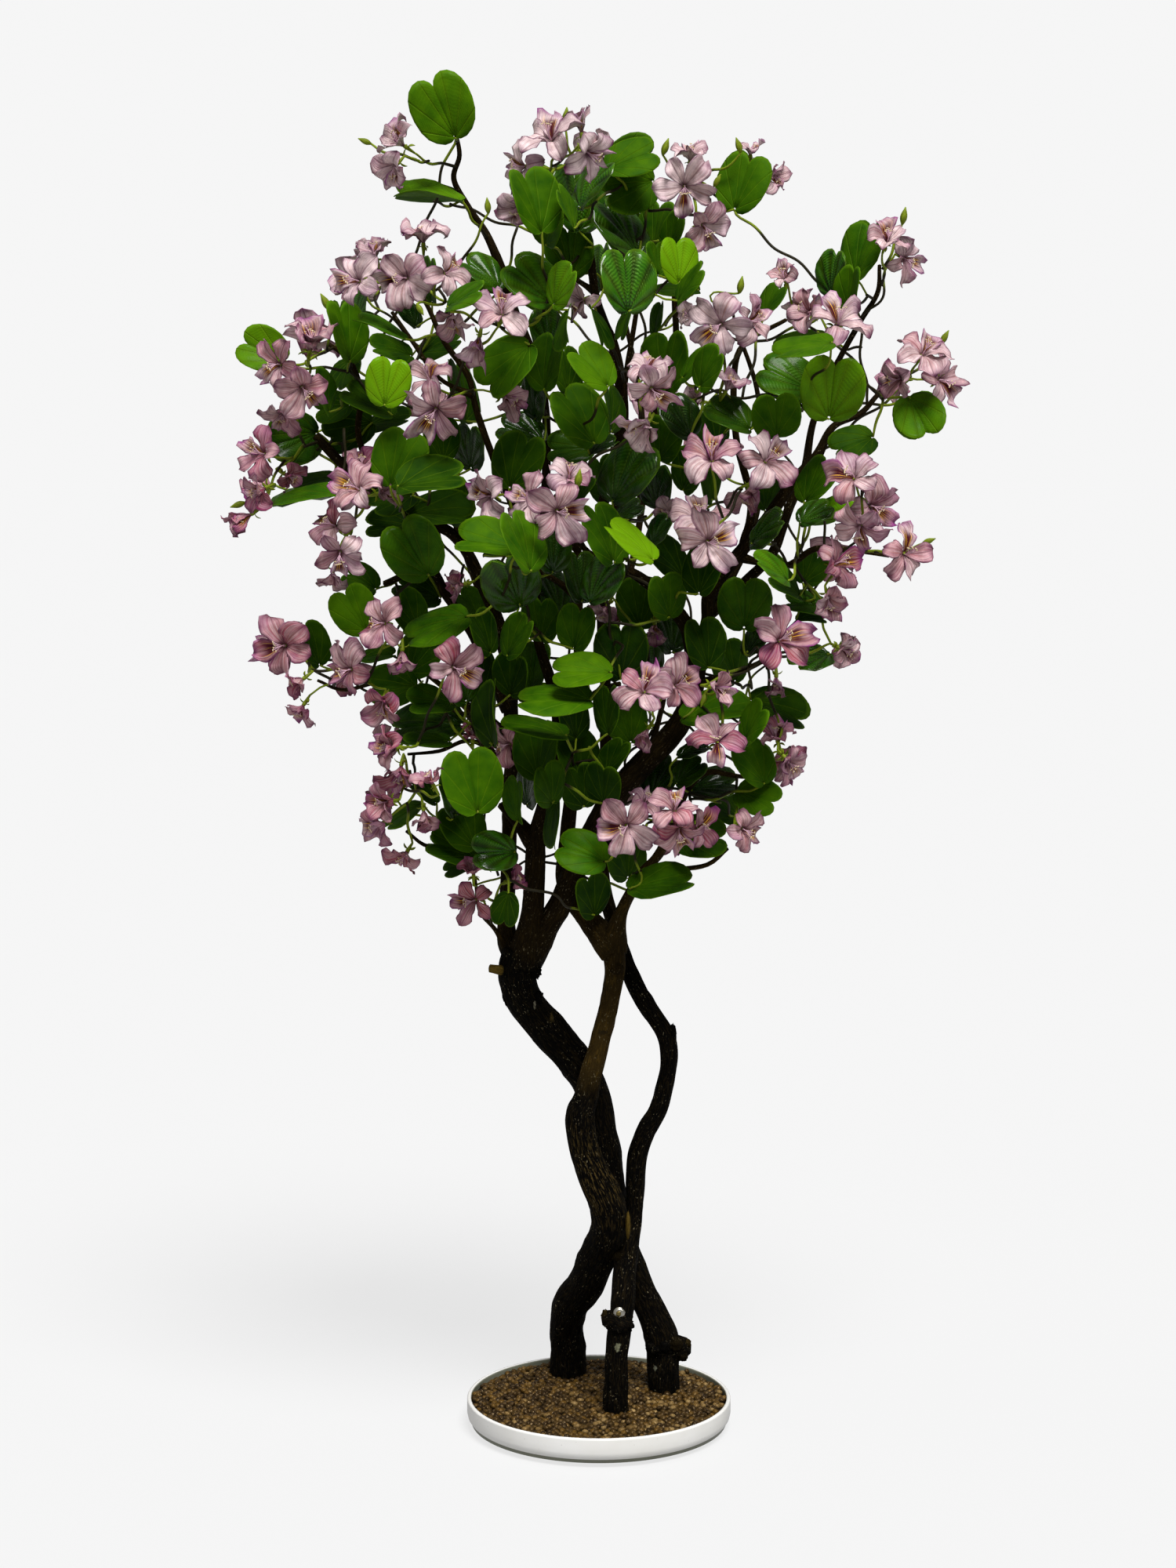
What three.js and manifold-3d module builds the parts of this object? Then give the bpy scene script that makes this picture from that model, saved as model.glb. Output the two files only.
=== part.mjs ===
// Bauhinia bonsai, about 1.8 m tall: three twisted trunks stand in a low round dish of gravel and
// carry one crown of two-lobed leaves and mauve five-petalled flowers.
// Units are millimetres, +Z up. The origin is the middle of the dish's underside, the front is -Y.
import * as THREE from "three";
import { mergeVertices } from "three/addons/utils/BufferGeometryUtils.js";
import Module from "manifold-3d";

const wasm = await Module();
wasm.setup();

// Driving sizes
const gap = 0.35;
const dish = { radius: 182, height: 41, wall: 6, floor: 6, foot: 158, lip: 2.5 };
const block = { top: 27 };
const gravel = { top: 36, pebble: 2.6, rings: 6, sectors: 28 };
const footDepth = 12;
const woodShape = { straight: 3.4, longest: 120, roughTrunk: 0.14, roughLimb: 0.08 };
const bolt = { radius: 8, head: 5, shank: 3.5 };
const leafShape = { width: 0.9, thick: 0.8, fold: 0.2, droop: 0.14, shortest: 58, longest: 92 };
const petalShape = { widest: 0.64, blunt: 0.86, half: 0.27, notch: 0.15, above: 0.9, below: 1.6 };
const stem = { twig: 2.1, petiole: 1.4, cup: 2.6, root: 0.6, reach: 42, stalk: 27, calyx: 15, spur: 22,
  start: 4, clear: 3.4 };
const crown = { u: 760, v: 640, halfWide: 480, halfHigh: 570, halfDeep: 280,
  step: 19, clear: 13, blade: 3 };

// The picture's viewpoint. A place is a picture pixel (1500 x 2000) and a depth Y in millimetres.
const view = { back: 4000, above: 1340, side: -15, down: 6.9, focal: 3810, u: 750, v: 1000 };
const down = THREE.MathUtils.degToRad(view.down);
const right = new THREE.Vector3(1, 0, 0);
const upward = new THREE.Vector3(0, Math.sin(down), Math.cos(down));
const toward = new THREE.Vector3(0, -Math.cos(down), Math.sin(down));

function pixelSize(v, y) {
  return (y + view.back) / (view.focal * Math.cos(down) + (view.v - v) * Math.sin(down));
}

function place(u, v, y) {
  const t = pixelSize(v, y);
  const rise = -view.focal * Math.sin(down) + (view.v - v) * Math.cos(down);
  return new THREE.Vector3(view.side + t * (u - view.u), y, gravel.top + view.above + t * rise);
}

// A repeatable draw between 0 and 1
function draw(n) {
  const s = Math.sin(n * 12.9898 + 4.1) * 43758.5453;
  return s - Math.floor(s);
}

// Wood, from root to tip: picture place, width in pixels, depth. The first place lies in its parent.
const trunks = {
  trunk_front: [
    [[724, 1751, 46, 112], [723, 1720, 45, 106], [722, 1690, 45, 94], [730, 1660, 46, 74],
      [745, 1640, 46, 56], [755, 1620, 46, 38], [764, 1600, 46, 18], [772, 1580, 45, -4],
      [777, 1562, 45, -18], [775, 1540, 46, -22], [768, 1520, 46, -23], [758, 1500, 44, -23],
      [750, 1480, 41, -23], [744, 1460, 39, -23], [740, 1440, 38, -23], [740, 1420, 36, -23],
      [747, 1400, 29, -20], [757, 1360, 28, -18], [767, 1320, 26, -16], [777, 1280, 24, -13],
      [783, 1240, 26, -10], [783, 1205, 28, -6]],
    [[783, 1215, 24, -8], [765, 1190, 26, 4], [748, 1170, 26, 16], [731, 1146, 25, 26],
      [719, 1118, 22, 30], [722, 1080, 19, 28], [728, 1020, 17, 20], [740, 950, 15, 6],
      [740, 880, 13, -8], [737, 800, 12, -22], [738, 730, 11, -34], [734, 670, 9, -40]],
    [[783, 1210, 22, -6], [788, 1180, 19, -14], [795, 1158, 15, -20], [805, 1138, 14, -26],
      [818, 1114, 13, -32], [840, 1090, 12, -38], [858, 1050, 11, -42], [878, 1005, 10, -34],
      [903, 985, 8, -30], [940, 990, 6, -34], [968, 992, 5, -36]],
    [[822, 1112, 8, -34], [862, 1109, 6, -44], [902, 1103, 6, -50], [928, 1082, 5, -52]],
    [[736, 760, 9, -30], [700, 735, 7, -60], [668, 720, 6, -95]],
    [[736, 700, 8, -38], [700, 668, 6, -90], [690, 640, 5, -150]],
    [[738, 900, 9, -4], [765, 880, 7, -60], [790, 872, 6, -105]],
  ],
  trunk_back: [
    [[848, 1772, 40, 39], [846, 1750, 42, 40], [843, 1705, 42, 44], [828, 1670, 38, 46],
      [815, 1640, 37, 47], [803, 1610, 37, 47], [792, 1575, 38, 46], [781, 1535, 40, 42],
      [774, 1490, 41, 34], [768, 1450, 42, 31], [762, 1420, 42, 31], [752, 1385, 42, 30],
      [735, 1355, 44, 25], [712, 1330, 45, 17], [690, 1303, 45, 12], [672, 1280, 46, 10],
      [662, 1255, 48, 10], [660, 1235, 48, 11], [664, 1212, 46, 12]],
    [[664, 1225, 26, 16], [647, 1195, 21, 22], [648, 1130, 20, 26], [650, 1050, 19, 24],
      [652, 950, 18, 16], [650, 850, 18, 4], [640, 805, 17, -8], [622, 760, 16, -20],
      [600, 712, 15, -30], [575, 680, 14, -38], [530, 658, 13, -46], [490, 632, 13, -50],
      [445, 600, 13, -48], [403, 556, 11, -42]],
    [[668, 1225, 32, 10], [674, 1195, 28, -2], [680, 1150, 26, -10], [684, 1080, 26, -16],
      [695, 1033, 23, -20], [705, 995, 20, -24], [711, 945, 17, -28], [708, 890, 15, -32],
      [693, 840, 13, -34], [682, 790, 12, -36], [686, 735, 11, -34], [693, 680, 11, -30],
      [697, 600, 11, -22], [696, 530, 11, -14], [684, 465, 11, -8], [657, 400, 12, -4],
      [640, 345, 12, 0], [620, 298, 10, 2], [597, 264, 8, 4], [579, 228, 7, 4],
      [586, 198, 6, 2], [580, 164, 5, 0]],
    [[668, 1222, 32, 14], [690, 1190, 31, 6], [708, 1165, 30, -6], [723, 1135, 30, -16],
      [740, 1097, 31, -20], [760, 1060, 32, -18], [778, 1022, 32, -16], [820, 975, 31, -24],
      [862, 930, 29, -36], [884, 880, 25, -46], [892, 832, 22, -52]],
    [[892, 845, 20, -50], [877, 800, 19, -60], [850, 765, 18, -72], [822, 740, 14, -84],
      [790, 722, 10, -96]],
    [[892, 845, 20, -50], [903, 795, 18, -54], [905, 757, 18, -56], [930, 722, 17, -56],
      [952, 695, 17, -54], [978, 662, 16, -50], [1012, 615, 15, -44], [1040, 585, 14, -40],
      [1062, 545, 9, -36], [1098, 527, 7, -32], [1120, 503, 6, -28], [1146, 478, 5, -24]],
    [[905, 780, 14, -50], [950, 742, 13, -20], [985, 706, 13, 4], [1005, 652, 12, 14],
      [1026, 600, 11, 20], [1037, 540, 9, 20], [1062, 475, 8, 14], [1096, 412, 7, 8],
      [1119, 374, 6, 2], [1122, 338, 5, -2]],
    [[940, 710, 9, -54], [1000, 722, 8, -62], [1040, 700, 8, -70], [1090, 702, 7, -72],
      [1134, 709, 5, -70]],
    [[950, 700, 11, -54], [958, 640, 10, -44], [940, 565, 9, -36], [936, 490, 8, -30],
      [948, 440, 7, -26], [1003, 408, 5, -22]],
    [[888, 872, 9, -50], [940, 858, 8, -66], [984, 838, 6, -78]],
    [[682, 1075, 17, -14], [660, 1048, 15, -8], [638, 1026, 10, -2]],
    [[648, 905, 13, 10], [606, 816, 13, -14], [570, 760, 12, -34], [545, 724, 10, -50],
      [490, 745, 8, -60]],
    [[652, 940, 9, 14], [602, 900, 7, -20], [548, 895, 6, -44], [500, 868, 6, -56],
      [440, 880, 5, -62], [405, 868, 4, -64]],
    [[652, 975, 8, 16], [602, 945, 6, -6], [560, 958, 5, -20], [520, 962, 4, -26]],
    [[648, 1110, 9, 24], [602, 1078, 7, 0], [548, 1080, 5, -18], [518, 1060, 4, -24]],
    [[648, 1215, 9, 18], [632, 1186, 6, -4], [612, 1162, 5, -20], [606, 1120, 4, -26]],
    [[686, 712, 10, -30], [660, 660, 10, -60], [632, 592, 9, -84], [608, 525, 8, -98],
      [597, 480, 8, -102], [566, 435, 7, -106], [545, 390, 6, -106], [520, 345, 5, -100]],
    [[604, 505, 7, -100], [560, 482, 6, -104], [527, 437, 6, -104], [500, 398, 5, -98]],
    [[490, 632, 9, -50], [458, 560, 8, -48], [460, 502, 8, -46], [446, 460, 7, -42],
      [418, 438, 5, -40]],
    [[660, 1236, 12, 8], [640, 1237, 11, 0], [625, 1235, 10, -6]],
    [[843, 1722, 30, 42], [866, 1719, 24, 40], [878, 1716, 16, 38]],
    [[650, 850, 12, 10], [622, 780, 11, 80], [592, 700, 9, 130], [560, 600, 8, 150],
      [540, 515, 6, 140]],
    [[905, 780, 12, -40], [932, 738, 11, 50], [958, 680, 9, 110], [972, 600, 8, 140],
      [966, 500, 6, 135], [940, 420, 5, 115]],
    [[652, 975, 11, 20], [620, 930, 9, 80], [582, 890, 8, 115], [545, 860, 6, 125]],
  ],
  trunk_right: [
    [[786, 1797, 32, -48], [785, 1760, 30, -47], [786, 1730, 29, -45], [790, 1700, 29, -41],
      [795, 1660, 30, -33], [796, 1640, 29, -25], [798, 1610, 28, -9], [802, 1585, 26, 4],
      [807, 1560, 24, 13], [810, 1530, 23, 15], [811, 1500, 23, 14], [814, 1470, 24, 12],
      [824, 1442, 25, 10], [840, 1415, 23, 8], [850, 1375, 22, 7], [853, 1345, 23, 7],
      [848, 1318, 23, 8], [836, 1298, 22, 11], [822, 1278, 22, 15], [811, 1258, 21, 20],
      [802, 1236, 20, 28], [792, 1208, 19, 38], [780, 1170, 18, 46], [770, 1120, 16, 50],
      [769, 1060, 15, 50], [772, 980, 15, 44], [773, 900, 14, 34], [770, 830, 14, 20],
      [767, 760, 14, 6], [766, 690, 14, -2], [770, 640, 14, -8], [786, 598, 15, -10],
      [791, 560, 16, -12], [793, 500, 16, -12], [788, 468, 15, -10], [781, 436, 14, -6],
      [769, 408, 13, -2], [759, 375, 11, 2], [754, 335, 10, 4], [750, 300, 8, 6],
      [742, 250, 5, 4], [722, 210, 4, 0]],
    [[797, 1694, 24, -41], [781, 1684, 20, -42], [770, 1681, 14, -42]],
    [[792, 520, 8, -12], [803, 450, 7, -26], [813, 385, 6, -36], [819, 300, 5, -40]],
    [[788, 592, 11, -10], [838, 525, 10, 6], [861, 450, 9, 16], [862, 360, 8, 14],
      [886, 322, 7, 6], [903, 275, 6, -2], [940, 245, 5, -4]],
    [[772, 655, 8, -8], [806, 628, 7, -70], [830, 600, 6, -120]],
    [[768, 720, 9, 0], [740, 690, 7, -2], [726, 620, 6, 0], [740, 560, 5, 6]],
    [[771, 850, 11, 26], [790, 780, 10, 95], [812, 690, 9, 145], [822, 590, 8, 165],
      [812, 480, 7, 160], [790, 380, 5, 140]],
    [[770, 1075, 12, 52], [800, 1010, 10, 95], [832, 945, 8, 130], [852, 870, 6, 145]],
    [[758, 372, 7, 4], [722, 345, 6, 60], [696, 300, 5, 96]],
    [[774, 905, 9, 34], [806, 880, 8, 4], [830, 860, 6, -40]],
  ],
};

// Leaves, read from the picture: middle, direction of the tip in degrees, length, width,
// and tone (2 light and nearest the front, 1 middling, 0 dark and deeper in the crown).
const leaves = [
  // Top of the crown
  [564, 137, 114, 80, 76, 2], [547, 250, 172, 85, 28, 1], [680, 255, 105, 85, 58, 1],
  [735, 252, 95, 85, 64, 0], [726, 320, 95, 66, 60, 0], [757, 235, 60, 70, 35, 2],
  [806, 203, 20, 66, 52, 1], [803, 240, 200, 68, 66, 1], [948, 232, 72, 74, 62, 1],
  [790, 290, 125, 85, 52, 0], [865, 332, 92, 58, 46, 2], [798, 358, 95, 80, 66, 2],
  [880, 362, 50, 50, 24, 2], [862, 370, 180, 58, 24, 0], [722, 265, 115, 52, 18, 2],
  // Upper left
  [335, 447, 155, 62, 55, 2], [440, 422, 100, 78, 40, 1], [485, 418, 155, 68, 20, 1],
  [495, 487, 80, 60, 55, 2], [445, 550, 200, 64, 55, 0], [470, 512, 150, 70, 40, 0],
  [375, 560, 200, 60, 66, 1], [615, 350, 140, 60, 38, 1], [593, 380, 20, 50, 32, 2],
  [678, 360, 135, 75, 60, 2], [718, 365, 60, 50, 38, 2], [647, 468, 225, 80, 62, 1],
  [700, 460, 80, 74, 44, 1], [588, 498, 100, 80, 30, 0], [755, 468, 130, 64, 48, 2],
  [738, 530, 120, 82, 60, 1], [665, 553, 160, 62, 44, 0], [727, 572, 180, 58, 45, 0],
  // Upper right
  [850, 462, 90, 78, 56, 0], [1004, 484, 155, 76, 58, 1], [930, 532, 150, 64, 42, 1],
  [1100, 318, 75, 72, 44, 0], [1086, 368, 85, 56, 26, 2], [1024, 443, 190, 76, 34, 2],
  [1062, 495, 85, 74, 78, 2], [1172, 530, 290, 56, 62, 2],
  // Middle left
  [388, 637, 190, 85, 24, 2], [510, 585, 70, 74, 66, 1], [550, 612, 10, 86, 50, 1],
  [563, 655, 0, 86, 46, 0], [498, 670, 180, 62, 40, 0], [527, 700, 120, 78, 72, 1],
  [533, 752, 160, 62, 48, 0], [452, 778, 120, 62, 56, 1], [557, 800, 200, 82, 44, 2],
  [622, 692, 170, 80, 48, 2], [664, 690, 110, 80, 44, 2], [652, 742, 110, 62, 72, 1],
  [738, 735, 95, 64, 44, 0], [768, 740, 60, 64, 46, 0], [770, 680, 110, 80, 50, 1],
  // Middle right
  [802, 602, 60, 84, 62, 0], [805, 690, 140, 74, 34, 2], [985, 727, 150, 50, 28, 2],
  [950, 770, 90, 62, 66, 0], [898, 820, 100, 64, 50, 0], [792, 830, 90, 70, 66, 0],
  [1060, 656, 10, 50, 30, 2], [1030, 771, 170, 58, 30, 0], [993, 905, 340, 76, 46, 0],
  [915, 908, 10, 90, 40, 1], [960, 972, 120, 62, 46, 1], [966, 1017, 340, 52, 46, 2],
  // Lower crown
  [742, 857, 180, 74, 42, 2], [707, 892, 180, 92, 40, 2], [500, 875, 180, 60, 52, 0],
  [545, 927, 185, 95, 52, 0], [628, 908, 90, 84, 28, 0], [680, 930, 170, 85, 22, 1],
  [602, 996, 100, 82, 72, 2], [590, 1053, 120, 64, 52, 0], [577, 1082, 160, 64, 44, 0],
  [735, 962, 100, 64, 50, 0], [742, 1088, 160, 64, 52, 2], [893, 1068, 0, 68, 52, 0],
  [843, 1127, 10, 82, 36, 1],
];

// Flowers, read from the picture: throat, petal length in pixels, direction it faces in degrees,
// how far it is turned from the viewer, opening (2 wide, 1 half, 0 hanging), direction of the
// lip petal, and layer (0 front, 1 middle, 2 inside the crown).
const flowers = [
  // Top of the crown
  [517, 187, 44, 150, 60, 1, 130, 0], [508, 208, 42, 235, 60, 1, 250, 0],
  [705, 182, 50, 120, 40, 2, 100, 0], [672, 212, 42, 190, 50, 2, 170, 0],
  [690, 224, 30, 250, 50, 1, 260, 1], [746, 192, 46, 320, 50, 2, 330, 0],
  [742, 172, 38, 100, 75, 0, 100, 1], [665, 262, 36, 220, 40, 1, 240, 2],
  [873, 237, 50, 270, 15, 2, 270, 0], [894, 285, 44, 310, 40, 2, 300, 0],
  [880, 207, 38, 90, 60, 1, 90, 1], [957, 200, 28, 90, 65, 1, 60, 1],
  [978, 225, 34, 350, 55, 1, 330, 1], [1130, 312, 40, 70, 45, 2, 90, 0],
  [1150, 328, 38, 320, 40, 2, 330, 0],
  // Upper left
  [460, 360, 46, 170, 30, 2, 180, 0], [520, 355, 50, 200, 20, 2, 190, 0],
  [480, 330, 36, 110, 60, 1, 100, 1], [540, 312, 38, 90, 65, 1, 100, 1],
  [566, 350, 42, 20, 40, 2, 40, 0], [577, 398, 38, 270, 60, 1, 270, 1],
  [640, 403, 48, 90, 25, 2, 90, 0], [612, 428, 46, 260, 75, 0, 260, 0],
  [745, 382, 32, 220, 40, 2, 220, 2], [551, 487, 44, 130, 45, 2, 100, 0],
  [557, 520, 50, 250, 30, 2, 240, 0], [640, 505, 40, 330, 50, 1, 330, 1],
  [395, 448, 54, 80, 50, 1, 90, 0], [360, 465, 42, 190, 35, 2, 200, 0],
  [385, 492, 46, 300, 30, 2, 310, 0], [365, 520, 38, 250, 60, 1, 250, 1],
  // Far left
  [340, 580, 42, 170, 40, 2, 150, 0], [340, 622, 40, 210, 50, 1, 200, 0],
  [362, 604, 32, 330, 60, 1, 330, 1], [322, 655, 42, 215, 75, 0, 215, 0],
  [460, 626, 46, 150, 30, 2, 160, 0], [482, 630, 38, 10, 55, 1, 0, 1],
  [462, 600, 34, 90, 60, 1, 90, 2], [430, 672, 42, 160, 35, 2, 150, 0],
  [434, 702, 44, 270, 30, 2, 270, 0], [425, 728, 34, 260, 65, 1, 260, 1],
  // Centre and right of centre
  [920, 413, 52, 230, 20, 2, 220, 0], [952, 410, 42, 0, 45, 2, 20, 0],
  [885, 405, 30, 160, 55, 1, 160, 1], [825, 478, 42, 90, 45, 2, 80, 0],
  [830, 494, 42, 300, 35, 2, 310, 0], [828, 537, 46, 240, 55, 1, 200, 0],
  [908, 590, 52, 95, 35, 2, 90, 0], [925, 500, 38, 60, 60, 1, 60, 1],
  [893, 512, 28, 180, 50, 1, 180, 2], [1002, 358, 30, 120, 40, 1, 110, 1],
  [1066, 416, 50, 60, 35, 2, 90, 0], [1036, 400, 38, 160, 45, 1, 150, 1],
  [1175, 455, 46, 60, 40, 2, 60, 0], [1195, 485, 42, 350, 40, 2, 330, 0],
  [1152, 482, 42, 200, 45, 1, 190, 0], [975, 590, 50, 40, 25, 2, 40, 0],
  [957, 622, 38, 250, 60, 1, 250, 2], [893, 668, 50, 95, 40, 2, 90, 1],
  [902, 690, 52, 300, 15, 2, 10, 0], [860, 655, 30, 180, 60, 1, 180, 2],
  [630, 632, 42, 190, 50, 2, 180, 1], [680, 638, 44, 170, 35, 2, 160, 0],
  [725, 614, 44, 80, 40, 2, 80, 0], [710, 650, 52, 300, 20, 2, 0, 0],
  [593, 745, 30, 200, 60, 1, 200, 2], [775, 772, 36, 240, 60, 1, 240, 2],
  [835, 795, 32, 270, 75, 0, 270, 2],
  // Right
  [1090, 612, 46, 120, 25, 2, 160, 0], [1108, 645, 44, 340, 30, 2, 330, 0],
  [1098, 668, 46, 250, 40, 2, 260, 0], [1152, 706, 44, 340, 20, 2, 70, 0],
  [1062, 722, 42, 30, 45, 2, 20, 0], [1055, 758, 38, 280, 50, 1, 280, 0],
  [992, 818, 50, 30, 20, 2, 20, 0], [1070, 826, 34, 330, 50, 1, 330, 0],
  [990, 862, 32, 270, 75, 0, 270, 1],
  // Left of the lower crown
  [365, 823, 48, 200, 15, 2, 190, 0], [388, 865, 32, 220, 65, 1, 210, 0],
  [388, 898, 32, 240, 65, 1, 240, 0], [492, 795, 42, 180, 30, 2, 180, 0],
  [513, 828, 34, 270, 75, 0, 270, 0], [450, 853, 42, 200, 35, 2, 200, 0],
  [577, 850, 48, 330, 25, 2, 330, 0], [490, 890, 42, 260, 50, 1, 260, 0],
  [507, 953, 38, 180, 55, 1, 180, 0], [512, 975, 42, 260, 70, 1, 260, 0],
  [498, 1022, 38, 190, 50, 1, 180, 0], [490, 1048, 38, 220, 50, 1, 200, 0],
  [520, 1085, 36, 240, 50, 1, 230, 0], [540, 1032, 32, 280, 70, 0, 280, 0],
  [553, 1002, 32, 120, 65, 1, 120, 0], [652, 948, 34, 200, 40, 2, 200, 2],
  [603, 945, 28, 90, 50, 1, 90, 2], [608, 1147, 40, 200, 30, 2, 190, 0],
  [604, 1117, 32, 90, 55, 1, 80, 1], [650, 1124, 28, 20, 60, 1, 20, 1],
  // Right of the lower crown
  [822, 884, 46, 110, 30, 2, 80, 0], [860, 875, 46, 20, 25, 2, 30, 0],
  [906, 876, 40, 350, 55, 1, 340, 0], [828, 928, 32, 240, 70, 0, 240, 1],
  [915, 948, 46, 100, 35, 2, 265, 0], [1000, 965, 40, 310, 55, 1, 310, 0],
  [992, 946, 32, 110, 60, 1, 100, 1], [799, 1052, 48, 270, 12, 2, 200, 0],
  [820, 1028, 34, 60, 45, 2, 60, 1], [860, 1036, 42, 80, 35, 2, 80, 0],
  [866, 1054, 42, 270, 40, 2, 280, 0], [888, 1056, 36, 350, 30, 2, 30, 0],
  [945, 1056, 38, 330, 35, 2, 330, 0],
];

// Places on the wood where a leafy spray or a flower stalk leaves it, with a depth on the far side
const sprayRoots = [
  [583, 178], [625, 308], [751, 305], [818, 305], [862, 380], [1117, 380],
  [1060, 480], [938, 520], [694, 520], [560, 428], [447, 465], [440, 596], [530, 658],
  [668, 722], [806, 730], [1000, 722], [962, 848], [878, 1005], [735, 965],
  [604, 905], [602, 1078], [545, 530, 142], [818, 560, 164],
  [968, 540, 138], [600, 905, 100],
];
const bloomRoots = [
  [582, 212], [728, 224], [900, 285], [1088, 428], [530, 362], [604, 505],
  [424, 442], [408, 560], [450, 604], [950, 436], [796, 488], [1138, 485], [958, 640],
  [692, 642], [1080, 702], [984, 838], [425, 874], [556, 895], [525, 962], [625, 1178],
  [830, 862], [940, 990], [850, 1068], [575, 650, 142], [814, 660, 150],
  [970, 620, 138], [838, 920, 136],
];

// Which near pieces have a twin on the far side of the crown: every fourth leaf and every tenth flower
const farEvery = { leaf: 4, flower: 10, share: 0.7 };
const toneShare = [0.25, 0.62, 0.92];
const layerShare = [0.95, 0.6, 0.2];
const spread = [28, 52, 76];

// A closed solid from its corners and faces, or from a three.js geometry
function solidFrom(points, faces) {
  const vertProperties = new Float32Array(points.flatMap((p) => [p.x, p.y, p.z]));
  const triVerts = new Uint32Array(faces.flat());
  return new wasm.Manifold(new wasm.Mesh({ numProp: 3, vertProperties, triVerts }));
}

function solidOf(geometry) {
  geometry.deleteAttribute("normal");
  geometry.deleteAttribute("uv");
  const merged = mergeVertices(geometry, 1e-3);
  const vertProperties = new Float32Array(merged.attributes.position.array);
  const triVerts = new Uint32Array(merged.index.array);
  return new wasm.Manifold(new wasm.Mesh({ numProp: 3, vertProperties, triVerts }));
}

function geometryOf(solid) {
  const mesh = solid.getMesh();
  const points = new Float32Array(mesh.numVert * 3);
  for (let i = 0; i < mesh.numVert; i++) {
    const start = i * mesh.numProp;
    points.set(mesh.vertProperties.subarray(start, start + 3), i * 3);
  }
  const geometry = new THREE.BufferGeometry();
  geometry.setAttribute("position", new THREE.BufferAttribute(points, 3));
  geometry.setIndex(new THREE.BufferAttribute(new Uint32Array(mesh.triVerts), 1));
  geometry.computeVertexNormals();
  return geometry;
}

// A tapering closed tube along a path; extra fattens it all round by that much
function tube(path, radii, sides, extra = 0, rough = 0) {
  const grow = extra / Math.cos(Math.PI / sides);
  const points = [];
  const faces = [];
  let side = null;
  path.forEach((middle, i) => {
    const before = path[Math.max(0, i - 1)];
    const after = path[Math.min(path.length - 1, i + 1)];
    const along = after.clone().sub(before).normalize();
    if (!side) {
      side = Math.abs(along.z) < 0.9 ? new THREE.Vector3(0, 0, 1) : new THREE.Vector3(1, 0, 0);
    }
    side = side.clone().addScaledVector(along, -side.dot(along)).normalize();
    const across = along.clone().cross(side);
    const end = i === 0 ? -extra : i === path.length - 1 ? extra : 0;
    for (let k = 0; k < sides; k++) {
      const turn = (2 * Math.PI * k) / sides;
      const r = radii[i] * (1 + rough * (draw(i * 17 + k * 5) - 0.5)) + grow;
      const point = middle.clone().addScaledVector(along, end);
      points.push(point.addScaledVector(side, r * Math.cos(turn))
        .addScaledVector(across, r * Math.sin(turn)));
    }
  });
  for (let i = 0; i + 1 < path.length; i++) {
    for (let k = 0; k < sides; k++) {
      const a = i * sides + k;
      const b = i * sides + ((k + 1) % sides);
      faces.push([a, b, b + sides], [a, b + sides, a + sides]);
    }
  }
  const last = (path.length - 1) * sides;
  for (let k = 1; k + 1 < sides; k++) {
    faces.push([0, k + 1, k], [last, last + k, last + k + 1]);
  }
  return solidFrom(points, faces);
}

// Wood: every limb as a path with radii, and the places it fills
const woodMarks = [];
function limb(rows, isTrunk) {
  const path = rows.map(([u, v, , y]) => place(u, v, y));
  const radii = rows.map(([, v, width, y]) => (width * pixelSize(v, y)) / 2);
  if (isTrunk) {
    path.unshift(new THREE.Vector3(path[0].x, path[0].y, footDepth));
    radii.unshift(radii[0]);
  }
  rows.slice(1).forEach((row, i) => {
    const from = rows[i];
    const steps = Math.ceil(Math.hypot(row[0] - from[0], row[1] - from[1], row[3] - from[3]) / 9);
    for (let s = 0; s < steps; s++) {
      const [u, v, width, y] = row.map((end, k) => from[k] + ((end - from[k]) * s) / steps);
      const r = (width * pixelSize(v, y)) / 2;
      woodMarks.push({ u, v, y, at: place(u, v, y), r, group: "wood", item: null });
    }
  });
  // A place close to the line between its neighbours adds nothing and is left out
  for (let i = path.length - 2; i > 0; i--) {
    const line = new THREE.Line3(path[i - 1], path[i + 1]);
    const share = line.closestPointToPointParameter(path[i], true);
    const off = line.at(share, new THREE.Vector3()).distanceTo(path[i]);
    const swell = Math.abs(radii[i - 1] + (radii[i + 1] - radii[i - 1]) * share - radii[i]);
    if (off + swell < woodShape.straight && path[i - 1].distanceTo(path[i + 1]) < woodShape.longest) {
      path.splice(i, 1);
      radii.splice(i, 1);
    }
  }
  const sides = isTrunk ? 8 : radii[0] > 8 ? 5 : radii[0] > 5 ? 4 : 3;
  return { path, radii, sides, rough: isTrunk ? woodShape.roughTrunk : woodShape.roughLimb };
}

const wood = {};
for (const [name, rows] of Object.entries(trunks)) {
  const limbs = rows.map((row, i) => limb(row, i === 0));
  const grown = (extra) => wasm.Manifold.union(
    limbs.map((l) => tube(l.path, l.radii, l.sides, extra, l.rough)));
  wood[name] = { solid: grown(0), fat: grown(gap) };
}

// What already stands in the crown: points with a radius
const marks = [...woodMarks];

// The least distance from the given points to what already stands there
function room(points, skips) {
  let least = Infinity;
  for (const mark of marks) {
    if (skips(mark)) continue;
    for (const p of points) {
      const d = p.distanceTo(mark.at) - mark.r;
      if (d < least) least = d;
    }
  }
  return least;
}

function bulge(u, v) {
  const x = (u - crown.u) / crown.halfWide;
  const z = (v - crown.v) / crown.halfHigh;
  return Math.sqrt(Math.max(0.05, 1 - x * x - z * z));
}

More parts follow.
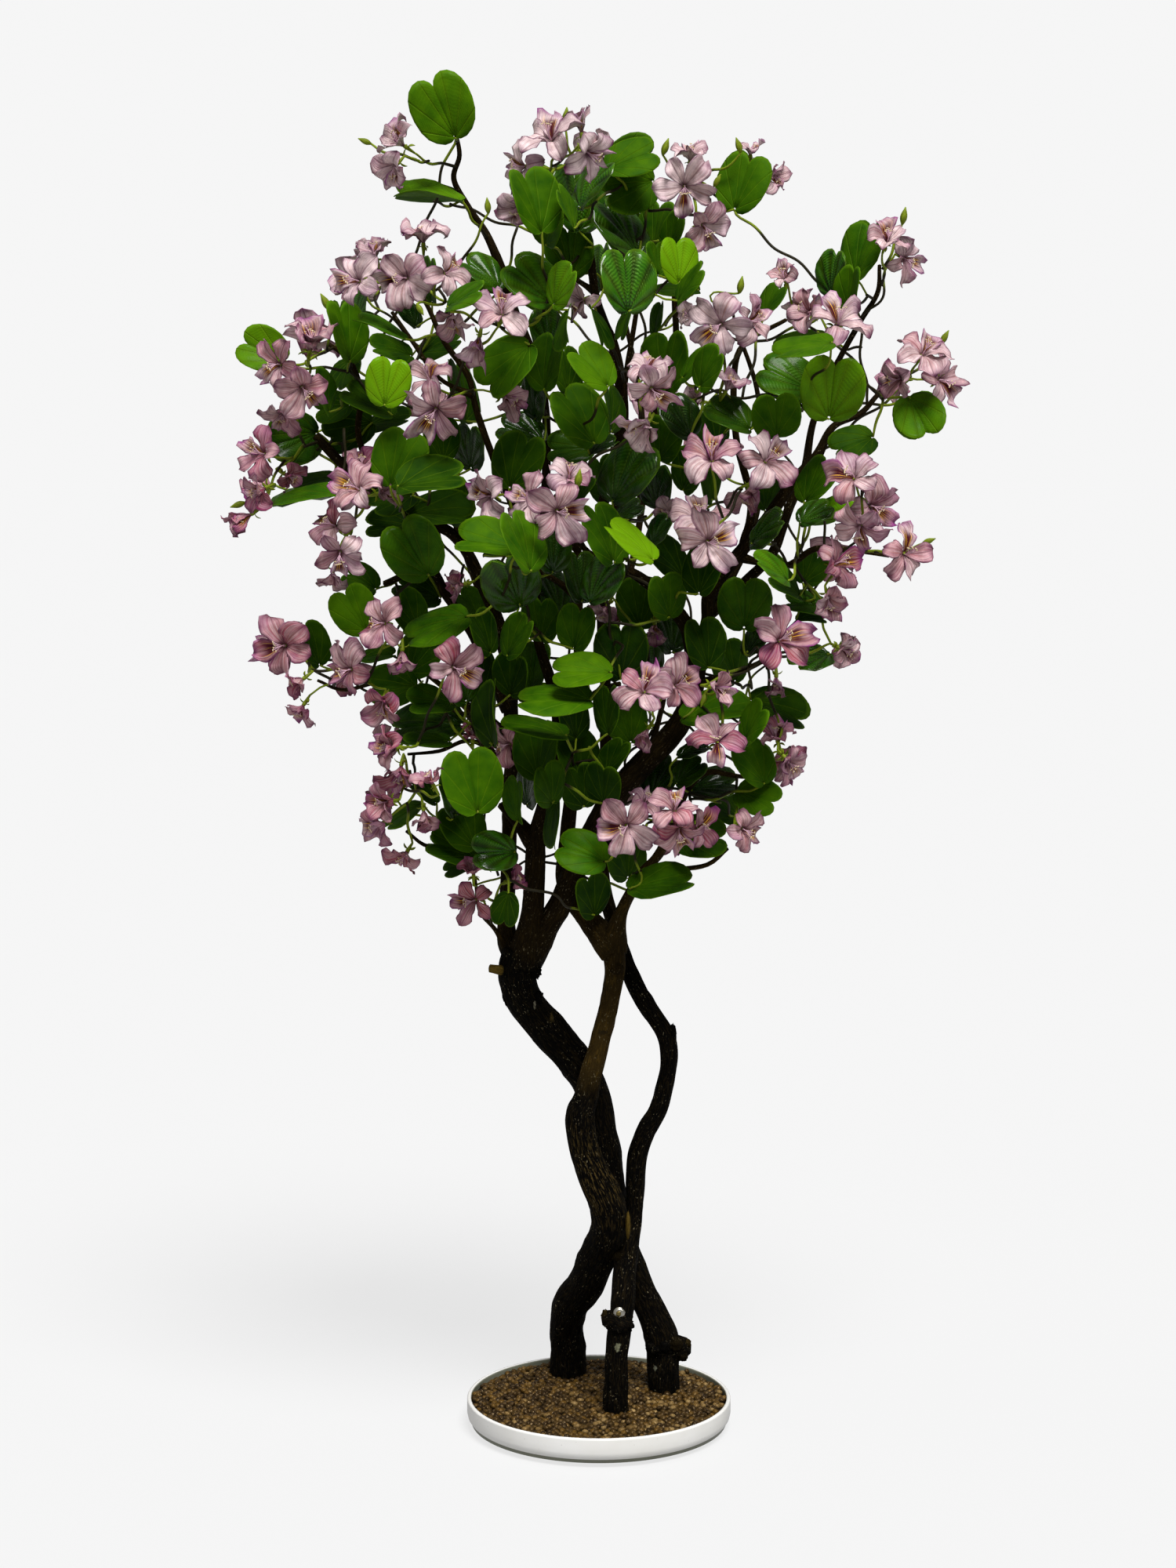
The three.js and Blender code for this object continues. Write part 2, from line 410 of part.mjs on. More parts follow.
// Turns a picture direction in degrees into a direction in space
function inPicture(degrees) {
  const a = THREE.MathUtils.degToRad(degrees);
  return right.clone().multiplyScalar(Math.cos(a)).addScaledVector(upward, Math.sin(a));
}

// A leaf blade: its middle, the way it points, its upper side and its length
function leafBlade([u, v, tip, length, width], y, far) {
  const pixels = Math.min(leafShape.longest, Math.max(length, width * 1.1, leafShape.shortest));
  const pitch = Math.acos(Math.min(1, length / pixels));
  const roll = Math.min(1.25, Math.acos(Math.min(1, width / (leafShape.width * pixels))));
  const flat = inPicture(tip);
  const along = flat.clone().multiplyScalar(Math.cos(pitch)).addScaledVector(toward, Math.sin(pitch));
  const up = toward.clone().multiplyScalar(Math.cos(pitch)).addScaledVector(flat, -Math.sin(pitch));
  const side = along.clone().cross(up);
  const rolled = (turn) => up.clone().multiplyScalar(Math.cos(turn))
    .addScaledVector(side, Math.sin(turn));
  const face = rolled(roll).z > rolled(-roll).z ? rolled(roll) : rolled(-roll);
  if (far) {
    along.y = -along.y;
    face.y = -face.y;
  }
  const across = along.clone().cross(face);
  const size = pixels * pixelSize(v, y);
  const base = place(u, v, y).addScaledVector(along, -size / 2);
  return { base, along, across, face, size };
}

// A point of a leaf: x across, y along, z up, all in leaf lengths
function leafPoint(blade, x, y, lift) {
  const fold = leafShape.fold * Math.abs(x) - leafShape.droop * (y - 0.4) * (y - 0.4);
  return blade.base.clone()
    .addScaledVector(blade.across, x * blade.size)
    .addScaledVector(blade.along, y * blade.size)
    .addScaledVector(blade.face, fold * blade.size + lift);
}

const leafOutline = [
  [0.32, 0.04], [0.47, 0.5], [0.24, 1], [0, 0.8], [-0.24, 1], [-0.47, 0.5], [-0.32, 0.04],
];

// Three corners round a stalk's path, counterclockwise as seen from its root
function ring(middle, side, along, radius, start) {
  const across = along.clone().cross(side);
  return [0, 240, 120].map((turn) => {
    const a = THREE.MathUtils.degToRad(start + turn);
    return middle.clone().addScaledVector(side, radius * Math.cos(a))
      .addScaledVector(across, radius * Math.sin(a));
  });
}

// Adds a stalk from its root to the ring of a blade that is already there
function addStalk(points, faces, blade, path, radii, side, start) {
  let nearer = blade;
  let way = side;
  for (let i = path.length - 2; i >= 0; i--) {
    const along = path[i + 1].clone().sub(path[Math.max(0, i - 1)]).normalize();
    way = way.clone().addScaledVector(along, -way.dot(along)).normalize();
    const corners = [0, 1, 2].map((k) => points.length + k);
    points.push(...ring(path[i], way, along, radii[i], start));
    for (let k = 0; k < 3; k++) {
      const next = (k + 1) % 3;
      faces.push([corners[k], nearer[k], nearer[next]], [corners[k], nearer[next], corners[next]]);
    }
    nearer = corners;
  }
  faces.push(nearer);
}

function leafSolid(blade, path, radii) {
  const points = leafOutline.map(([x, y]) => leafPoint(blade, x, y, 0));
  const right = points.length;
  points.push(...ring(blade.base, blade.across, blade.along, stem.petiole, -30));
  const outline = [right, ...leafOutline.keys(), right + 1];
  const upper = points.length;
  points.push(leafPoint(blade, 0, 0.42, leafShape.thick), leafPoint(blade, 0, 0.42, -leafShape.thick));
  const faces = [[upper, right + 1, right], [upper + 1, right + 2, right + 1],
    [upper + 1, right, right + 2]];
  for (let i = 0; i + 1 < outline.length; i++) {
    faces.push([upper, outline[i], outline[i + 1]], [upper + 1, outline[i + 1], outline[i]]);
  }
  addStalk(points, faces, [right, right + 1, right + 2], path, radii, blade.across, -30);
  return solidFrom(points, faces);
}

// A flower: its throat, the way it faces, its lip's direction, petal length and opening
function flowerHead([u, v, radius, turn, tilt, opening, lip], y, far) {
  const lean = THREE.MathUtils.degToRad(tilt);
  const face = toward.clone().multiplyScalar(Math.cos(lean))
    .addScaledVector(inPicture(turn), Math.sin(lean));
  const lipWay = inPicture(lip).addScaledVector(toward, 0.3);
  lipWay.addScaledVector(face, -lipWay.dot(face)).normalize();
  if (far) {
    face.y = -face.y;
    lipWay.y = -lipWay.y;
  }
  const across = face.clone().cross(lipWay);
  const size = radius * pixelSize(v, y);
  return { throat: place(u, v, y), face, lip: lipWay, across, size, opening };
}

// A point of a petal: how far out, how far to its left, and how far above its sheet
function petalPoint(head, petal, out, left, lift) {
  const spin = (2 * Math.PI * petal) / 5;
  const open = THREE.MathUtils.degToRad(spread[head.opening] + (petal === 0 ? 8 : 0));
  const way = head.lip.clone().multiplyScalar(Math.cos(spin))
    .addScaledVector(head.across, Math.sin(spin));
  const side = head.across.clone().multiplyScalar(Math.cos(spin))
    .addScaledVector(head.lip, -Math.sin(spin));
  return head.throat.clone()
    .addScaledVector(way, out * Math.sin(open) * head.size)
    .addScaledVector(head.face, (out * Math.cos(open) + lift) * head.size)
    .addScaledVector(side, left * head.size);
}

function flowerSolid(head, path, radii) {
  const { widest, blunt, half, notch, above, below } = petalShape;
  const points = [];
  for (let petal = 0; petal < 5; petal++) {
    const out = head.opening === 2 ? widest : blunt;
    points.push(petalPoint(head, petal, out, -half, 0.05));
    if (head.opening === 2) points.push(petalPoint(head, petal, 1, 0, 0));
    points.push(petalPoint(head, petal, out, half, 0.05));
    points.push(petalPoint(head, petal + 0.5, notch, 0, 0));
  }
  const count = points.length;
  points.push(head.throat.clone().addScaledVector(head.face, above));
  const throat = head.throat.clone().addScaledVector(head.face, -below);
  points.push(...ring(throat, head.lip, head.face, stem.cup, 0));
  const corner = (i) => [1, 3, 2][Math.round((i - 1) / (count / 3)) % 3];
  const faces = [];
  for (let i = 0; i < count; i++) {
    const next = (i + 1) % count;
    faces.push([count, i, next], [count + corner(i), next, i]);
    if (corner(i) !== corner(next)) {
      faces.push([count + corner(i), count + corner(next), next]);
    }
  }
  addStalk(points, faces, [count + 1, count + 2, count + 3], path, radii, head.lip, 0);
  return solidFrom(points, faces);
}

// Sample places on a blade, which tell how near another one is
function leafSamples(blade) {
  const spots = [[0, 0.1], [0, 0.45], [0, 0.78], [0.25, 0.12], [-0.25, 0.12], [0.4, 0.45],
    [-0.4, 0.45], [0.26, 0.88], [-0.26, 0.88], [0.2, 0.62], [-0.2, 0.62]];
  return spots.map(([x, y]) => leafPoint(blade, x, y, 0));
}

function flowerSamples(head) {
  const samples = [head.throat.clone()];
  for (let petal = 0; petal < 5; petal++) {
    samples.push(petalPoint(head, petal, 0.45, 0, 0), petalPoint(head, petal, 0.72, 0.18, 0));
    samples.push(petalPoint(head, petal, 0.72, -0.18, 0), petalPoint(head, petal, 0.98, 0, 0));
  }
  return samples;
}

// Sets every leaf and flower in the crown's depth, stepping it back or forth until it is clear
const items = [];
function setItem(row, number, isLeaf, far) {
  const share = isLeaf ? toneShare[row[5]] : layerShare[row[7]];
  const reach = crown.halfDeep * bulge(row[0], row[1]);
  const jitter = 36 * (draw(number * 3 + (isLeaf ? 0 : 500)) - 0.5);
  const start = (far ? farEvery.share : -share) * reach + jitter;
  let best = null;
  for (let step = 0; step < 15; step++) {
    const shift = Math.ceil(step / 2) * crown.step * (step % 2 ? 1 : -1);
    const form = isLeaf ? leafBlade(row, start + shift, far) : flowerHead(row, start + shift, far);
    const samples = isLeaf ? leafSamples(form) : flowerSamples(form);
    const clear = room(samples, () => false);
    if (!best || clear > best.clear) best = { form, samples, clear };
    if (clear > crown.clear) break;
  }
  const item = { isLeaf, far, number, row, ...best };
  for (const at of item.samples) marks.push({ at, r: crown.blade, group: "blade", item });
  items.push(item);
}

flowers.forEach((row, i) => setItem(row, i, false, false));
leaves.forEach((row, i) => setItem(row, i, true, false));
flowers.forEach((row, i) => {
  if (i % farEvery.flower === 5) setItem(row, i, false, true);
});
leaves.forEach((row, i) => {
  if (i % farEvery.leaf === 0) setItem(row, i, true, true);
});

// Each piece belongs to the nearest root
function rootsOn(rows, kind) {
  return rows.map(([u, v, y], i) => {
    const far = y !== undefined;
    const depth = (m) => (far ? m.y - y : Math.max(0, m.y - 60) * 20);
    const off = (m) => Math.hypot(m.u - u, m.v - v, depth(m));
    const mark = woodMarks.reduce((a, b) => (off(b) < off(a) ? b : a));
    const name = kind + "_" + String(i + 1).padStart(2, "0");
    const isLeaf = kind === "leaf_spray";
    return { name, at: mark.at, radius: mark.r, items: [], isLeaf, far };
  });
}
const groups = [...rootsOn(sprayRoots, "leaf_spray"), ...rootsOn(bloomRoots, "bloom_cluster")];
for (const item of items) {
  const middle = item.samples[0];
  const ours = groups.filter((g) => g.isLeaf === item.isLeaf && g.far === item.far);
  ours.reduce((a, b) => (middle.distanceTo(b.at) < middle.distanceTo(a.at) ? b : a)).items.push(item);
}

function alongPath(path, spacing) {
  const points = [];
  for (let i = 0; i + 1 < path.length; i++) {
    const steps = Math.max(1, Math.ceil(path[i].distanceTo(path[i + 1]) / spacing));
    for (let s = 0; s < steps; s++) points.push(path[i].clone().lerp(path[i + 1], s / steps));
  }
  points.push(path[path.length - 1].clone());
  return points;
}

// A way from a to b that bends clear of what stands between them
function route(a, b, radius, group, item) {
  const line = b.clone().sub(a);
  const length = line.length();
  line.normalize();
  const side = new THREE.Vector3(-line.y, line.x, 0.01).normalize();
  const across = line.clone().cross(side);
  let best = null;
  for (let round = 0; round < 8 && !(best && best.clear > radius + stem.clear); round++) {
    for (let k = 0; k < (round ? 6 : 1); k++) {
      const turn = (Math.PI * k) / 3 + round * 0.5;
      const bend = round * Math.max(6, length * 0.09);
      const middle = a.clone().lerp(b, 0.5).addScaledVector(side, bend * Math.cos(turn))
        .addScaledVector(across, bend * Math.sin(turn));
      const path = round ? [a, middle, b] : [a, b];
      const free = alongPath(path, 6).filter((p) => p.distanceTo(a) > stem.start);
      const clear = room(free, (m) => m.group === group.name || m.item === item);
      if (!best || clear > best.clear) best = { path, clear };
      if (clear > radius + stem.clear) break;
    }
  }
  return best.path;
}

// Grows a spray or cluster: pieces near the root first, each from the nearest point of the twigs
function nearestOn(twigs, point) {
  let best = null;
  for (const twig of twigs) {
    const line = new THREE.Line3(twig.a, twig.b);
    const share = line.closestPointToPointParameter(point, true) - twig.used * twig.step;
    const at = line.at(Math.min(0.9, Math.max(0.1, share)), new THREE.Vector3());
    if (!best || at.distanceTo(point) < best.at.distanceTo(point)) best = { at, twig };
  }
  best.twig.used += 1;
  return best.at;
}

function fillAlong(path, radius, group) {
  for (const at of alongPath(path, 6)) marks.push({ at, r: radius, group, item: null });
}

function growGroup(group) {
  for (const item of group.items) {
    const form = item.form;
    item.foot = item.isLeaf ? form.base.clone()
      : form.throat.clone().addScaledVector(form.face, -stem.calyx);
  }
  group.items.sort((a, b) => a.foot.distanceTo(group.at) - b.foot.distanceTo(group.at));
  const heading = new THREE.Vector3();
  for (const { foot } of group.items) heading.add(foot.clone().sub(group.at).normalize());
  heading.normalize();
  const collar = group.at.clone().addScaledVector(heading, group.radius + 2);
  const spur = collar.clone().addScaledVector(heading, stem.spur);
  group.spur = [group.at, spur];
  fillAlong(group.spur, stem.twig, group.name);
  const twigs = [];
  const addTwig = (a, b) => {
    twigs.push({ a, b, used: 0, step: Math.min(0.25, 8 / a.distanceTo(b)) });
  };
  addTwig(collar, spur);
  for (const item of group.items) {
    const from = nearestOn(twigs, item.foot);
    const reach = from.distanceTo(item.foot);
    let path = [from];
    if (reach > stem.reach) {
      const joint = item.foot.clone().lerp(from, stem.stalk / reach);
      joint.z -= 4;
      path = route(from, joint, stem.twig, group, item);
      fillAlong(path, stem.twig, group.name);
      for (let i = 0; i + 1 < path.length; i++) addTwig(path[i], path[i + 1]);
    }
    const joint = path[path.length - 1];
    const stalk = route(joint, item.foot, stem.petiole, group, item);
    fillAlong(stalk, stem.petiole, group.name);
    item.radii = [...path, ...stalk.slice(1)].map((p, i) => (
      path.length > 1 && i < path.length ? stem.twig * (1 - 0.1 * i) : stem.petiole));
    item.path = [...path, ...stalk.slice(1)];
    item.radii[0] = path.length > 1 ? stem.root * 1.7 : stem.root;
    if (!item.isLeaf) {
      item.path.push(item.form.throat.clone());
      item.radii.push(stem.cup);
    }
  }
}
groups.forEach(growGroup);

// A solid's largest body, without the scraps that a cut leaves
function largest(solid) {
  return solid.decompose().sort((a, b) => b.volume() - a.volume())[0];
}

function meet(a, b) {
  const p = a.boundingBox();
  const q = b.boundingBox();
  return [0, 1, 2].every((k) => p.min[k] < q.max[k] && q.min[k] < p.max[k]);
}

// Each group as one body, cut clear of the wood and of what another group's stalk passes through
const fatWood = wasm.Manifold.union(Object.values(wood).map((w) => w.fat));
for (const group of groups) {
  const parts = group.items.map((item) => (
    (item.isLeaf ? leafSolid : flowerSolid)(item.form, item.path, item.radii)));
  const spurRadii = [stem.twig * 1.1, stem.twig];
  parts.push(tube(group.spur, spurRadii, 3));
  group.solid = wasm.Manifold.union(parts);
  const fat = group.items.map((item) => tube(item.path, item.radii, 3, gap));
  group.fat = wasm.Manifold.union([...fat, tube(group.spur, spurRadii, 3, gap)]);
}
for (const group of groups) {
  for (const other of groups) {
    if (group === other || !meet(group.solid, other.fat)) continue;
    if (group.solid.intersect(other.fat).volume() > 0) {
      group.solid = group.solid.subtract(other.fat);
    }
  }
  group.solid = largest(group.solid.subtract(fatWood));
}

// The pot and what fills it
function lathed(profile, segments = gravel.sectors) {
  const points = profile.map(([x, z]) => new THREE.Vector2(x, z));
  const geometry = new THREE.LatheGeometry(points, segments);
  geometry.rotateX(Math.PI / 2);
  return geometry;
}

const inner = dish.radius - dish.wall;
const dishSolid = solidOf(lathed([
  [0, 0], [dish.foot, 0], [dish.radius - 3, 12], [dish.radius, 22],
  [dish.radius, dish.height - dish.lip], [dish.radius - dish.wall / 2, dish.height],
  [inner, dish.height - dish.lip], [inner, dish.floor], [0, dish.floor],
]));
const bedRadius = inner - gap;
const blockBottom = dish.floor + gap;
const blockSolid = solidOf(lathed([
  [0, blockBottom], [bedRadius, blockBottom], [bedRadius, block.top], [0, block.top],
])).subtract(fatWood);

// Gravel: a flat bed whose top is raised into pebbles by a draw at each place
function gravelBed() {
  const { rings, sectors, top, pebble } = gravel;
  const points = [new THREE.Vector3(0, 0, top), new THREE.Vector3(0, 0, block.top + gap)];
  const faces = [];
  const index = (ring, sector) => 2 + (ring - 1) * sectors + (sector % sectors);
  for (let ring = 1; ring <= rings; ring++) {
    for (let s = 0; s < sectors; s++) {
      const turn = (2 * Math.PI * s) / sectors;
      const edge = ring === rings;
      const r = edge ? bedRadius : (bedRadius * (ring + 0.5 * (draw(ring * 50 + s) - 0.5))) / rings;
      const z = top + (edge ? -1 : pebble * (draw(ring * 91 + s * 7) - 0.5) * 2);
      points.push(new THREE.Vector3(r * Math.cos(turn), r * Math.sin(turn), z));
    }
  }
  const rim = points.length;
  for (let s = 0; s < sectors; s++) {
    const turn = (2 * Math.PI * s) / sectors;
    const x = bedRadius * Math.cos(turn);
    points.push(new THREE.Vector3(x, bedRadius * Math.sin(turn), block.top + gap));
  }
  for (let s = 0; s < sectors; s++) {
    const next = (s + 1) % sectors;
    faces.push([0, index(1, s), index(1, s + 1)], [1, rim + next, rim + s]);
    faces.push([index(rings, s), rim + s, rim + next], [index(rings, s), rim + next, index(rings, s + 1)]);
    for (let ring = 1; ring < rings; ring++) {
      const a = index(ring, s);
      const b = index(ring, s + 1);
      faces.push([a, a + sectors, b + sectors], [a, b + sectors, b]);
    }
  }
  return solidFrom(points, faces);
}
const gravelSolid = gravelBed().subtract(fatWood);

// The bolt that holds the right trunk's leg
const boltAt = place(790, 1671, -36);
const boltOut = 13;
function boltSolid(extra) {
  const { radius, head, shank } = bolt;
  const geometry = lathed([
    [0, -12 - extra], [shank + extra, -12 - extra], [shank + extra, -extra], [radius + extra, -extra],
    [radius + extra, head * 0.35], [radius * 0.75 + extra, head * 0.85 + extra],
    [0, head + extra],
  ], 10);
  geometry.rotateX(Math.PI / 2);
  geometry.translate(boltAt.x, boltAt.y - boltOut, boltAt.z);
  return solidOf(geometry);
}

const { trunk_front: front, trunk_right: side, trunk_back: back } = wood;
const frontSolid = front.solid;
const rightSolid = side.solid.subtract(front.fat).subtract(boltSolid(gap));
const backSolid = back.solid.subtract(front.fat).subtract(side.fat);

// Colours and gloss
const looks = {
  bark: { color: "#2a2116", roughness: 0.85, metalness: 0 },
  leaf: { color: "#2f5c10", roughness: 0.45, metalness: 0 },
  petal: { color: "#b98fa4", roughness: 0.7, metalness: 0 },
  gravel: { color: "#7a5a38", roughness: 0.7, metalness: 0 },
  cement: { color: "#a8a49a", roughness: 0.9, metalness: 0 },
  glaze: { color: "#e9e8e3", roughness: 0.25, metalness: 0 },
  steel: { color: "#b9b3a2", roughness: 0.3, metalness: 0.9 },
};
const materials = Object.fromEntries(
  Object.entries(looks).map(([name, look]) => [name, new THREE.MeshStandardMaterial(look)]));

const bonsai = new THREE.Group();
function add(name, solid, look) {
  const mesh = new THREE.Mesh(geometryOf(solid), materials[look]);
  mesh.name = name;
  bonsai.add(mesh);
}

add("dish", dishSolid, "glaze");
add("cast_block", blockSolid, "cement");
add("gravel", gravelSolid, "gravel");
add("trunk_front", largest(frontSolid), "bark");
add("trunk_right", largest(rightSolid), "bark");
add("trunk_back", largest(backSolid), "bark");
add("leg_bolt", boltSolid(0), "steel");
for (const group of groups) add(group.name, group.solid, group.isLeaf ? "leaf" : "petal");

export default bonsai;
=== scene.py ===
# Bauhinia bonsai: three twisted trunks stand in a low round dish of gravel and carry one crown
# of two-lobed leaves and mauve flowers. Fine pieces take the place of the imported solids.
# Tables are read from the picture (1500 x 2000 pixels) with a depth in millimetres.
import math

import bmesh
import bpy
import numpy as np
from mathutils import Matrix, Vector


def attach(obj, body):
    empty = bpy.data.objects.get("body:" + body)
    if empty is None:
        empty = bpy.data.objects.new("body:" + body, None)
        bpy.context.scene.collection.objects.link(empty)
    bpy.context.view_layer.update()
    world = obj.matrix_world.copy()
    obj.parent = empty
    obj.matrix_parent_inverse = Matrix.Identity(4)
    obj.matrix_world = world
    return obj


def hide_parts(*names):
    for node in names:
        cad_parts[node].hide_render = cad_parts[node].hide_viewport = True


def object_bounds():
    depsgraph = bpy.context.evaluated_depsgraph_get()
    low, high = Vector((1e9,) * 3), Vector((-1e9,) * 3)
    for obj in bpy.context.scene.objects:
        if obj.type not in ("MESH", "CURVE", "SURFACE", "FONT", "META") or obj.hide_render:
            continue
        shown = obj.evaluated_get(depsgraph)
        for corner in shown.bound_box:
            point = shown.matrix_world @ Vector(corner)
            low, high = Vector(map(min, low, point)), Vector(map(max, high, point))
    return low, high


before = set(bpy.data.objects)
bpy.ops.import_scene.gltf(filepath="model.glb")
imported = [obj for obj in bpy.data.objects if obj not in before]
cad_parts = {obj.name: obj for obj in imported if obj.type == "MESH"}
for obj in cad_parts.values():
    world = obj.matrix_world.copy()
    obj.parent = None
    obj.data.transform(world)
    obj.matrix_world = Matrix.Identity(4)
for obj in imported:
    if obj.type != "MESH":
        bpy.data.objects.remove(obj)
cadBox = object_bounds()
scene = bpy.context.scene
print("frame loaded:", len(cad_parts), "nodes")

# Camera at the picture's viewpoint
viewpoint = {"side": -15, "back": 4000, "above": 1376, "down": 6.9, "lens": 68.58, "sensor": 36,
    "clip": 200}
picture = {"focal": 3810, "middleU": 750, "middleV": 1000}
cameraData = bpy.data.cameras.new("pictureCamera")
cameraData.lens = viewpoint["lens"]
cameraData.sensor_width = viewpoint["sensor"]
cameraData.clip_end = viewpoint["clip"]
camera = bpy.data.objects.new("pictureCamera", cameraData)
camera.location = (viewpoint["side"] / 1000, -viewpoint["back"] / 1000, viewpoint["above"] / 1000)
camera.rotation_euler = (math.radians(90 - viewpoint["down"]), 0, 0)
scene.collection.objects.link(camera)
scene.camera = camera

# From picture pixels to millimetres
down = math.radians(viewpoint["down"])
right = np.array([1.0, 0, 0])
upward = np.array([0, math.sin(down), math.cos(down)])
toward = np.array([0, -math.cos(down), math.sin(down)])


def pixelSize(v, y):
    drop = (picture["middleV"] - v) * math.sin(down)
    return (y + viewpoint["back"]) / (picture["focal"] * math.cos(down) + drop)


def place(u, v, y):
    t = pixelSize(v, y)
    rise = -picture["focal"] * math.sin(down) + (picture["middleV"] - v) * math.cos(down)
    return np.array([viewpoint["side"] + t * (u - picture["middleU"]), y, viewpoint["above"] + t * rise])


# A repeatable draw between 0 and 1: the fraction of a sine that is made very steep
drawing = {"step": 12.9898, "start": 4.1, "steepness": 43758.5453, "turn": 6.3}


def draw(n):
    s = math.sin(n * drawing["step"] + drawing["start"]) * drawing["steepness"]
    return s - math.floor(s)


def unit(a):
    return a / np.linalg.norm(a)


